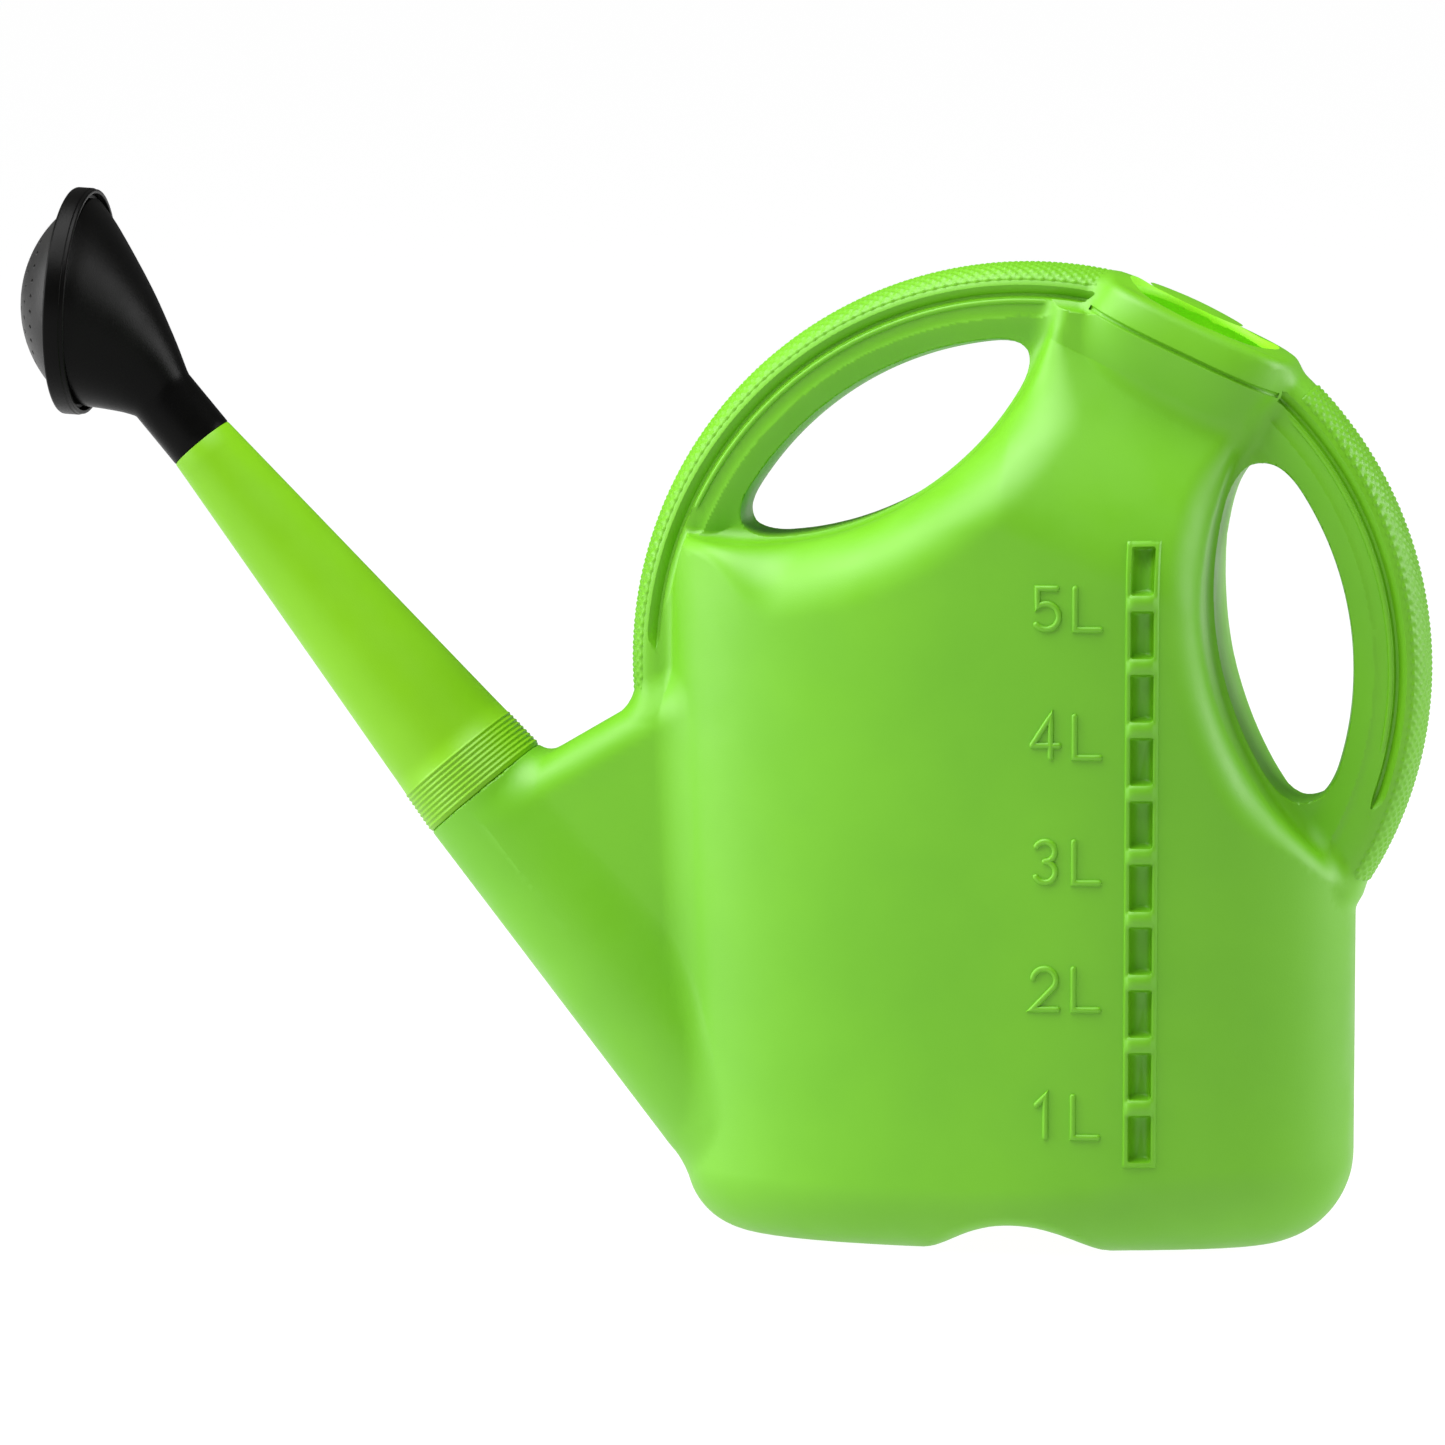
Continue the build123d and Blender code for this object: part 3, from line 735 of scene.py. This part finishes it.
def ring_groove(start, end, side):
    """The cutter of the groove in one flank of the ring between two angles, in degrees."""
    profile = [(-1.9, 1.2), (-1.15, 0.0), (-0.95, -1.2), (-0.55, -2.3), (0.35, -2.5)]
    profile += [(1.2, -1.7), (2.2, -0.85), (3.4, -0.25), (4.8, 0.25), (5.6, 1.2)]
    rows = []
    count = int(abs(end - start) / 1.2)
    for i in range(count + 1):
        angle = radians(start + (end - start) * i / count)
        taper = min(1.0, 0.25 + 1.6 * min(i, count - i) / 3.0)
        row = []
        for r, out in profile:
            radius = RING_SPLIT - 0.2 + r * taper
            y = side * (RING_HALF_WIDTH - 0.15 + (out if out > 0.0 else out * taper))
            row.append((RING_X + radius * cos(angle), y, RING_Z + radius * sin(angle)))
        rows.append(row)
    points, faces = skin(rows)
    return outward(new_object("groove", points, faces))


def ring_bead(start, end, side):
    """The thin raised edge on the inner side of the ring's groove."""
    path = []
    count = int(abs(end - start) / 1.2)
    for i in range(count + 1):
        angle = radians(start + (end - start) * i / count)
        fade = 0.9 * max(0.0, 1.0 - min(i, count - i) / 3.0)
        radius = RING_SPLIT - 2.5
        y = side * (RING_HALF_WIDTH - 0.65 - fade)
        point = (RING_X + radius * cos(angle), y, RING_Z + radius * sin(angle))
        path.append((point, (0.0, side, 0.0), (cos(angle), 0.0, sin(angle))))
    return tube("bead", path, 1.0, 0.8)


def neck_groove(side):
    """The cutter of the groove along the neck's crease."""
    path = []
    out = CREASE + 1.1
    for step in range(57):
        along = -35.5 + 71.5 * step / 56
        start = np.array([NECK_X + along * cos(NECK_SLOPE) + out * sin(NECK_SLOPE), side * 24.0,
                          NECK_Z - along * sin(NECK_SLOPE) + out * cos(NECK_SLOPE)])
        for _ in range(12):
            start[1] -= side * float(outer_field(*start))
        normal = np.array([0.0, side, 0.0])
        binormal = np.array([sin(NECK_SLOPE), 0.0, cos(NECK_SLOPE)])
        path.append((start, normal, binormal))
    return tube("neck_groove", path, 0.95, 1.3)


def spigot():
    """The reduced end of the stub that goes into the tube."""
    outline = [(16.0, -12.0, 0), (21.5, -12.0, 0), (21.5, -1.0, 0), (SPIGOT_RADIUS, -0.4, 0)]
    outline += [(SPIGOT_RADIUS, 16.0, 1.0), (16.0, 16.0, 0)]
    return lathe("spigot", rounded(outline, 0.5), (JOINT_X, 0.0, JOINT_Z), SPOUT_AXIS, 96)


def spout_bore():
    outline = [(0.001, -30.0), (17.5, -30.0), (17.5, 15.4), (18.3, 16.4), (18.3, 20.0), (0.001, 20.0)]
    return lathe("bore", outline, (JOINT_X, 0.0, JOINT_Z), SPOUT_AXIS, 96)


def build_tank(outside, inside):
    """The moulding. Its hollow's faces take the inside material, a lighter green that glows: painted light
    for the light that comes through the wall.
    """
    low = (-216.0, -60.0, -4.0)
    high = (150.0, 60.0, 348.0)
    tank = field_object("tank_shell", outer_field, low, high, 2.7)
    tank.data.materials.append(outside)
    refine(tank, outer_field, radians(18.0), 2)
    beads = [ring_bead(*span, side) for span in BEADS for side in (-1, 1)]
    boolean(tank, [spigot(), gauge_frame()] + beads + figures(), "UNION")
    grooves = [ring_groove(*span, side) for span in GROOVES for side in (-1, 1)]
    grooves += [neck_groove(side) for side in (-1, 1)]
    boolean(tank, gauge_plugs() + grooves, "DIFFERENCE")
    water = field_object("water", water_field, low, high, 4.2)
    hollows = [water, filler_cutter(), spout_bore()]
    for hollow in hollows:
        hollow.data.materials.append(inside)
    boolean(tank, hollows, "DIFFERENCE")
    smooth(tank, outer_field)
    return tank


# ---------------------------------------------------------------- the ring's grip texture

GRIP_SPANS = {"front_grip_skin": (78.0, 186.0), "back_grip_skin": (-32.0, 45.0)}
DOT_PITCH = 3.9
DOT_HEIGHT = 0.55
GRIP_STEP = 0.62
GRIP_EDGE = 4.1


def grip_section():
    """Points across the ring's outer half, evenly spaced: (radius, y, normal radius, normal y, distance)."""
    turn = np.linspace(-0.5 * pi, 0.5 * pi, 1201)
    power = 2.0 / 2.5
    r = (RING_OUTER - RING_SPLIT) * np.cos(turn).clip(0.0) ** power
    y = RING_HALF_WIDTH * np.sign(turn) * np.abs(np.sin(turn)) ** power
    keep = r > GRIP_EDGE
    r, y = r[keep], y[keep]
    length = np.concatenate([[0.0], np.cumsum(np.hypot(np.diff(r), np.diff(y)))])
    count = int(length[-1] / GRIP_STEP)
    at = np.linspace(0.0, length[-1], count + 1)
    r, y = np.interp(at, length, r), np.interp(at, length, y)
    dr, dy = np.gradient(r), np.gradient(y)
    size = np.hypot(dr, dy)
    return RING_SPLIT + r, y, dy / size, -dr / size, at - length[-1] / 2.0


def grip_skin(name, start, end):
    """A thin skin of staggered dots over the outer half of the ring."""
    radius, y, normal_r, normal_y, across = grip_section()
    rows = []
    span = radians(end - start) * RING_OUTER
    count = int(span / GRIP_STEP)
    sides = blend(0.0, 1.2, across[-1] - np.abs(across))
    for i in range(count + 1):
        angle = radians(start) + radians(end - start) * i / count
        along = span * i / count
        wave = np.cos(2.0 * pi * across / DOT_PITCH) * cos(2.0 * pi * along / DOT_PITCH)
        dots = DOT_HEIGHT * (((wave - 0.15) / 0.85).clip(0.0)) ** 0.7
        edge = sides * float(blend(0.0, 1.2, min(along, span - along)))
        height = (0.75 + dots) * edge - 0.5
        row = []
        for k in range(len(radius)):
            r = radius[k] + height[k] * normal_r[k]
            row.append((RING_X + r * cos(angle), y[k] + height[k] * normal_y[k], RING_Z + r * sin(angle)))
        for k in range(len(radius) - 1, -1, -4):
            r = radius[k] - 0.9 * normal_r[k]
            row.append((RING_X + r * cos(angle), y[k] - 0.9 * normal_y[k], RING_Z + r * sin(angle)))
        rows.append(row)
    points, faces = skin(rows)
    piece = outward(new_object(name, points, faces))
    piece.data.shade_smooth()
    return piece


# ---------------------------------------------------------------- the spout tube

TUBE_LENGTH = (Vector(joints["rose_turn"]["pos_m"]) - Vector(joints["spout_turn"]["pos_m"])).length / MM
TUBE_TIP_RADIUS = 11.9
NOSE_RADIUS = 9.0
NOSE_BORE = 7.0
NOSE_LENGTH = 14.0
RIB_COUNT = 9
RIB_PITCH = 1.7
RIB_HEIGHT = 0.42


def spout_point(along):
    return np.array([JOINT_X, 0.0, JOINT_Z]) + along * np.array(SPOUT_AXIS)


def build_tube():
    """The tapered tube: fine ribs and a socket with a seal groove below, a reduced nose above."""
    slope = (TUBE_TIP_RADIUS - JOINT_RADIUS) / TUBE_LENGTH
    outline = [(JOINT_RADIUS - 0.9, 0.0), (JOINT_RADIUS - 0.45, 0.12), (JOINT_RADIUS - 0.12, 0.5)]
    for step in range(RIB_COUNT):
        for t in (0.0, 0.15, 0.3, 0.45, 0.6, 0.75, 0.9):
            z = 0.9 + (step + t) * RIB_PITCH
            outline.append((JOINT_RADIUS + slope * z + RIB_HEIGHT * sin(pi * t) ** 2, z))
    for step in range(1, 25):
        z = 16.6 + (TUBE_LENGTH - 0.5 - 16.6) * step / 24.0
        outline.append((JOINT_RADIUS + slope * z, z))
    tip = TUBE_LENGTH
    outline += [(TUBE_TIP_RADIUS - 0.15, tip - 0.15), (TUBE_TIP_RADIUS - 0.5, tip), (NOSE_RADIUS + 0.4, tip)]
    outline += [(NOSE_RADIUS, tip + 0.4), (NOSE_RADIUS, tip + NOSE_LENGTH - 1.0)]
    outline += [(NOSE_RADIUS - 0.3, tip + NOSE_LENGTH - 0.3), (NOSE_RADIUS - 1.0, tip + NOSE_LENGTH)]
    outline += [(NOSE_BORE + 0.3, tip + NOSE_LENGTH), (NOSE_BORE, tip + NOSE_LENGTH - 0.3)]
    outline += [(NOSE_BORE, tip - 1.0)]
    outline += [(TUBE_TIP_RADIUS - 2.0, tip - 8.0), (SPIGOT_RADIUS + 0.3, 17.5), (SPIGOT_RADIUS + 0.3, 10.05)]
    outline += [(SPIGOT_RADIUS + 2.05, 10.05), (SPIGOT_RADIUS + 2.05, 6.95), (SPIGOT_RADIUS + 0.3, 6.95)]
    outline += [(SPIGOT_RADIUS + 0.3, 0.6), (SPIGOT_RADIUS + 0.9, 0.0)]
    piece = lathe("spout_pipe", outline, spout_point(0.0), SPOUT_AXIS, 144)
    smooth(piece)
    return piece


# ---------------------------------------------------------------- the rose

FACE_AXIS = Vector(joints["face_off"]["axis"])
RIM_RADIUS = 40.0
RIM_SKIRT = 7.5
RIM_WALL = 1.8
RIM_LIP = 1.5
RIM_LIP_RADIUS = 35.5
PLATE_RADIUS = 37.8
PLATE_THICK = 1.6
DOME_RADIUS = 35.0
DOME_RISE = 18.0
SLEEVE_LENGTH = 22.0
FUNNEL_WALL = 1.8
FUNNEL_END = 36.4
HOLE_RADIUS = 0.75
HOLE_RINGS = 6
HOLE_PITCH = 5.2
ring_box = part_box("rose_ring")
ring_middle = from_frame([(ring_box[0] + ring_box[1]) / 2.0])[0]
FACE_CENTRE = ring_middle + np.array(FACE_AXIS) * RIM_SKIRT / 2.0


def face_point(radius, height):
    """A point in the middle plane, above the rose's axis, at a height out from the rim's front."""
    up = np.array([FACE_AXIS.z, 0.0, -FACE_AXIS.x])
    return FACE_CENTRE + radius * up + height * np.array(FACE_AXIS)


def through(points, count):
    """A smooth curve through points, as a list of count + 1 places."""
    points = [np.array(p, float) for p in points]
    points = [2.0 * points[0] - points[1]] + points + [2.0 * points[-1] - points[-2]]
    spans = len(points) - 3
    result = []
    for step in range(count + 1):
        place = min(step * spans / count, spans - 1e-9)
        i = int(place)
        t = place - i
        a, b, c, d = points[i : i + 4]
        bend = (2 * a - 5 * b + 4 * c - d) * t * t + (3 * b - a - 3 * c + d) * t**3
        result.append(0.5 * (2.0 * b + (c - a) * t + bend))
    return result


def oval_row(high, low, segments=112):
    """A round row of points whose top and bottom lie in the middle plane."""
    high, low = np.array(high, float), np.array(low, float)
    half = (high - low) / 2.0
    angle = np.arange(segments)[:, None] * 2.0 * pi / segments
    sideways = np.array([0.0, np.linalg.norm(half), 0.0])
    return (high + low) / 2.0 + np.cos(angle) * half + np.sin(angle) * sideways


def pipe_row(along, radius):
    side = radius * np.array([SPOUT_AXIS.z, 0.0, -SPOUT_AXIS.x])
    return oval_row(spout_point(along) + side, spout_point(along) - side)


def face_row(radius, height):
    return oval_row(face_point(radius, height), face_point(-radius, height))


def build_funnel():
    """The rose's body: a sleeve over the tube's nose, then a bent funnel out to a round flange."""
    start = TUBE_LENGTH
    end = start + SLEEVE_LENGTH
    seat = -PLATE_THICK - RIM_LIP
    flange = RIM_RADIUS - RIM_WALL - 0.3
    side = TUBE_TIP_RADIUS * np.array([SPOUT_AXIS.z, 0.0, -SPOUT_AXIS.x])
    back = -RIM_SKIRT + 0.6
    high = [spout_point(end) + side, (-301.2, 0, 308.9), (-308.4, 0, 324.2), (-315.6, 0, 337.2)]
    high += [(-324.1, 0, 351.0), face_point(FUNNEL_END, back)]
    low = [spout_point(end) - side, (-318.8, 0, 283.1), (-323.0, 0, 283.9), (-327.4, 0, 284.6)]
    low += [(-331.8, 0, 285.2), face_point(-FUNNEL_END, back)]
    upper, lower = through(high, 44), through(low, 44)
    rows = [pipe_row(start, TUBE_TIP_RADIUS - 0.5), pipe_row(start + 0.15, TUBE_TIP_RADIUS - 0.12)]
    rows += [pipe_row(start + 0.5 + (SLEEVE_LENGTH - 0.9) * t / 8.0, TUBE_TIP_RADIUS) for t in range(9)]
    rows += [oval_row(a, b) for a, b in zip(upper, lower)][1:]
    rows += [face_row(FUNNEL_END, seat - 2.2), face_row(flange - 0.3, seat - 2.2)]
    rows += [face_row(flange, seat - 1.9)]
    rows += [face_row(flange, seat - 0.3), face_row(flange - 0.3, seat), face_row(34.4, seat)]
    rows += [face_row(34.2, seat - 2.2)]
    for a, b in list(zip(upper, lower))[-2:0:-1]:
        inward = (a - b) / np.linalg.norm(a - b) * FUNNEL_WALL
        rows.append(oval_row(a - inward, b + inward))
    bore = NOSE_RADIUS + 0.3
    seal_from, seal_to, seal_out = start + 4.95, start + 7.45, bore + 1.35
    rows += [pipe_row(end, NOSE_BORE + 2.5), pipe_row(start + 15.0, bore), pipe_row(seal_to, bore)]
    rows += [pipe_row(seal_to, seal_out), pipe_row(seal_from, seal_out), pipe_row(seal_from, bore)]
    rows += [pipe_row(start + 0.6, bore), pipe_row(start, bore + 0.6)]
    points, faces = skin(rows, closed_rows=True)
    piece = outward(new_object("rose_funnel", points, faces))
    smooth(piece, edge=24.0)
    return piece


def build_rim():
    """The rim ring, with rounded edges and a fine step near its back edge."""
    bore = RIM_RADIUS - RIM_WALL
    outline = [(RIM_LIP_RADIUS, 0.0, 0.5), (RIM_RADIUS, 0.0, 1.1), (RIM_RADIUS, -RIM_SKIRT + 1.7, 0.3)]
    outline += [(RIM_RADIUS - 0.35, -RIM_SKIRT + 1.45, 0.2), (RIM_RADIUS - 0.35, -RIM_SKIRT, 0.5)]
    outline += [(bore, -RIM_SKIRT, 0.3), (bore, -RIM_LIP, 0.3), (RIM_LIP_RADIUS, -RIM_LIP, 0.3)]
    piece = lathe("rose_rim", rounded(outline, 0.4), FACE_CENTRE, FACE_AXIS, 160)
    smooth(piece)
    return piece


def build_dome():
    """The domed spray plate, with its rings of holes cut right through."""
    ball = (DOME_RADIUS**2 + DOME_RISE**2) / (2.0 * DOME_RISE)
    middle = DOME_RISE - ball - RIM_LIP
    pole = 0.3
    inner_ball = ball - PLATE_THICK
    foot = -RIM_LIP - PLATE_THICK
    inner_angle = acos((foot - middle) / inner_ball)
    outer_angle = acos((-RIM_LIP - middle) / ball)
    rows = []
    for step in range(37):
        angle = pole / inner_ball + (inner_angle - pole / inner_ball) * step / 36.0
        rows.append(face_row(inner_ball * sin(angle), middle + inner_ball * cos(angle)))
    rows += [face_row(PLATE_RADIUS - 0.2, foot), face_row(PLATE_RADIUS, foot + 0.2)]
    rows += [face_row(PLATE_RADIUS, -RIM_LIP - 0.2), face_row(PLATE_RADIUS - 0.2, -RIM_LIP)]
    for step in range(36, -1, -1):
        angle = pole / ball + (outer_angle - pole / ball) * step / 36.0
        rows.append(face_row(ball * sin(angle), middle + ball * cos(angle)))
    points, faces = skin(rows)
    plate = outward(new_object("rose_dome", points, faces))
    holes_pts, holes_faces = [], []
    up = np.array([FACE_AXIS.z, 0.0, -FACE_AXIS.x])
    for ring in range(HOLE_RINGS):
        for k in range(max(1, 6 * ring)):
            turn = 2.0 * pi * k / max(1, 6 * ring)
            spot = ring * HOLE_PITCH * (cos(turn) * up + sin(turn) * np.array([0.0, 1.0, 0.0]))
            flare = ball * cos(min(1.2, ring * HOLE_PITCH / ball)) + middle
            levels = [(-12.0, 1.0), (flare - 0.45, 1.0), (flare - 0.1, 1.25), (flare + 3.0, 3.2)]
            pillar = [face_row(HOLE_RADIUS * r, h)[::8] + spot for h, r in levels]
            pts, fcs = skin(pillar)
            holes_faces += [tuple(i + len(holes_pts) * len(pts) for i in f) for f in fcs]
            holes_pts.append(pts)
    holes = outward(new_object("holes", np.concatenate(holes_pts), holes_faces))
    boolean(plate, [holes], "DIFFERENCE")
    centre = FACE_CENTRE + middle * np.array(FACE_AXIS)

    def ball_field(x, y, z):
        return np.sqrt((x - centre[0]) ** 2 + (y - centre[1]) ** 2 + (z - centre[2]) ** 2) - ball

    smooth(plate, ball_field)
    return plate


# ---------------------------------------------------------------- materials


def linear(red, green, blue):
    """A screen colour, 0 to 255, as the shader's linear colour."""
    values = []
    for value in (red, green, blue):
        share = value / 255.0
        values.append(share / 12.92 if share <= 0.04045 else ((share + 0.055) / 1.055) ** 2.4)
    return (*values, 1.0)


def node(tree, kind, **inputs):
    item = tree.nodes.new(kind)
    for name, value in inputs.items():
        item.inputs[name.replace("_", " ")].default_value = value
    return item


def noise(tree, coordinates, scale, detail=2.0):
    item = node(tree, "ShaderNodeTexNoise", Scale=scale, Detail=detail)
    tree.links.new(coordinates, item.inputs["Vector"])
    return item.outputs["Fac"]


def spread(tree, value, low, high):
    """Stretches a noise value from its usual range to low..high."""
    item = node(tree, "ShaderNodeMapRange", From_Min=0.3, From_Max=0.7, To_Min=low, To_Max=high)
    tree.links.new(value, item.inputs["Value"])
    return item.outputs["Result"]


def moulded(name, dark, light, roughness, specular, grain, glow=0.0, parting=False):
    """A moulded plastic: cloudy colour, uneven gloss, fine grain, waves and maybe a parting line. A glow
    makes it give off its light colour, painted light that no lamp casts.
    """
    item = bpy.data.materials.new(name)
    item.use_nodes = True
    tree = item.node_tree
    tree.nodes.clear()
    output = tree.nodes.new("ShaderNodeOutputMaterial")
    surface = tree.nodes.new("ShaderNodeBsdfPrincipled")
    tree.links.new(surface.outputs["BSDF"], output.inputs["Surface"])
    surface.inputs["Specular IOR Level"].default_value = specular
    surface.inputs["Emission Color"].default_value = light
    surface.inputs["Emission Strength"].default_value = glow
    place = tree.nodes.new("ShaderNodeTexCoord").outputs["Object"]
    colours = tree.nodes.new("ShaderNodeMix")
    colours.data_type = "RGBA"
    colours.inputs["A"].default_value = dark
    colours.inputs["B"].default_value = light
    tree.links.new(spread(tree, noise(tree, place, 14.0, 4.0), 0.0, 1.0), colours.inputs["Factor"])
    tree.links.new(colours.outputs["Result"], surface.inputs["Base Color"])
    gloss = spread(tree, noise(tree, place, 60.0, 3.0), roughness - 0.05, roughness + 0.05)
    tree.links.new(gloss, surface.inputs["Roughness"])
    waves = node(tree, "ShaderNodeBump", Strength=0.25, Distance=0.0006)
    tree.links.new(noise(tree, place, 45.0, 1.0), waves.inputs["Height"])
    pores = node(tree, "ShaderNodeBump", Strength=grain, Distance=0.00012)
    tree.links.new(noise(tree, place, 2600.0, 2.0), pores.inputs["Height"])
    tree.links.new(waves.outputs["Normal"], pores.inputs["Normal"])
    last = pores
    if parting:
        axes = tree.nodes.new("ShaderNodeSeparateXYZ")
        tree.links.new(place, axes.inputs["Vector"])
        away = tree.nodes.new("ShaderNodeMath")
        away.operation = "ABSOLUTE"
        tree.links.new(axes.outputs["Y"], away.inputs[0])
        ridge = node(tree, "ShaderNodeMapRange", From_Min=0.0, From_Max=0.0003, To_Min=1.0, To_Max=0.0)
        tree.links.new(away.outputs["Value"], ridge.inputs["Value"])
        last = node(tree, "ShaderNodeBump", Strength=0.6, Distance=0.0002)
        tree.links.new(ridge.outputs["Result"], last.inputs["Height"])
        tree.links.new(pores.outputs["Normal"], last.inputs["Normal"])
    tree.links.new(last.outputs["Normal"], surface.inputs["Normal"])
    return item


green = moulded("green_polyethylene", linear(98, 172, 8), linear(106, 181, 12), 0.48, 0.55, 0.3, parting=True)
# The inside green is lighter than the outside green and glows: painted light for the light that comes through
# the wall.
green_inside_painted_glow = moulded("green_inside_painted_glow", linear(128, 206, 24), linear(138, 216, 30), 0.5, 0.3, 0.25, glow=0.3)
tube_dark, tube_light = linear(114, 178, 6), linear(122, 187, 10)
green_tube = moulded("tube_polyethylene", tube_dark, tube_light, 0.46, 0.35, 0.3, parting=True)
black = moulded("black_polypropylene", linear(4, 4, 4), linear(9, 9, 8), 0.34, 0.07, 0.5)
grey = moulded("spray_plate", linear(24, 24, 24), linear(40, 40, 39), 0.4, 0.2, 0.5)
rubber = moulded("seal_rubber", linear(24, 24, 24), linear(32, 32, 32), 0.62, 0.4, 0.8)


# ---------------------------------------------------------------- the pieces on their bodies


def settle_on(piece, body, nodes=(), material=None):
    if material:
        piece.data.materials.clear()
        piece.data.materials.append(material)
    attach(piece, body)
    if nodes:
        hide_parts(*nodes)


tank = build_tank(green, green_inside_painted_glow)
print("tank faces", len(tank.data.polygons))
settle_on(tank, "can", ("tank", "front_grip", "back_grip", "spout_stub"))
for name, span in GRIP_SPANS.items():
    settle_on(grip_skin(name, *span), "can", (), green)
settle_on(build_tube(), "spout", ("spout_tube",), green_tube)
settle_on(build_funnel(), "rose", ("rose_housing",), black)
settle_on(build_rim(), "rose_face", ("rose_ring",), black)
settle_on(build_dome(), "rose_face", ("rose_plate",), grey)
for name in ("spout_seal", "rose_seal"):
    seal = frame["nodes"][name]
    seal.data.materials.clear()
    seal.data.materials.append(rubber)

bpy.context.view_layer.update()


# ---------------------------------------------------------------- floor, light and camera


def build_floor():
    mesh = bpy.data.meshes.new("floor")
    half = 16.0
    corners = [(-half, -half, 0), (half, -half, 0), (half, half, 0), (-half, half, 0)]
    mesh.from_pydata(corners, [], [(0, 1, 2, 3)])
    floor = bpy.data.objects.new("floor", mesh)
    bpy.context.scene.collection.objects.link(floor)
    paper = moulded("paper", linear(100, 100, 100), linear(104, 104, 104), 0.8, 0.0, 0.0)
    surface = paper.node_tree.nodes["Principled BSDF"]
    surface.inputs["Emission Color"].default_value = (1.0, 1.0, 1.0, 1.0)
    surface.inputs["Emission Strength"].default_value = 0.98
    mesh.materials.append(paper)


def area_light(name, place, size, power):
    light = bpy.data.objects.new(name, bpy.data.lights.new(name, "AREA"))
    light.data.energy = power
    light.data.size = size
    light.location = place
    light.rotation_euler = (target - light.location).to_track_quat("-Z", "Y").to_euler()
    bpy.context.scene.collection.objects.link(light)


target = Vector((0.0007, 0.0, 0.1775))
build_floor()
area_light("top", (-0.6, -0.6, 2.3), 2.0, 92.0)
area_light("left", (-2.3, -0.4, 0.9), 1.6, 62.0)
area_light("right", (2.4, 0.5, 0.9), 1.4, 42.0)
world = bpy.data.worlds.new("world")
world.use_nodes = True
world.node_tree.nodes["Background"].inputs["Color"].default_value = (1.0, 1.0, 1.0, 1.0)
world.node_tree.nodes["Background"].inputs["Strength"].default_value = 0.1
bpy.context.scene.world = world
bpy.context.scene.view_settings.view_transform = "Standard"

camera = bpy.data.objects.new("camera", bpy.data.cameras.new("camera"))
bpy.context.scene.collection.objects.link(camera)
bpy.context.scene.camera = camera
camera.data.lens = 213.75
camera.data.sensor_width = 36.0
camera.data.clip_end = 40.0
azimuth, elevation, distance = radians(10.0), radians(6.8), 3.0
offset = Vector((sin(azimuth) * cos(elevation), -cos(azimuth) * cos(elevation), sin(elevation)))
camera.location = target + offset * distance
camera.rotation_euler = (-offset).to_track_quat("-Z", "Y").to_euler()
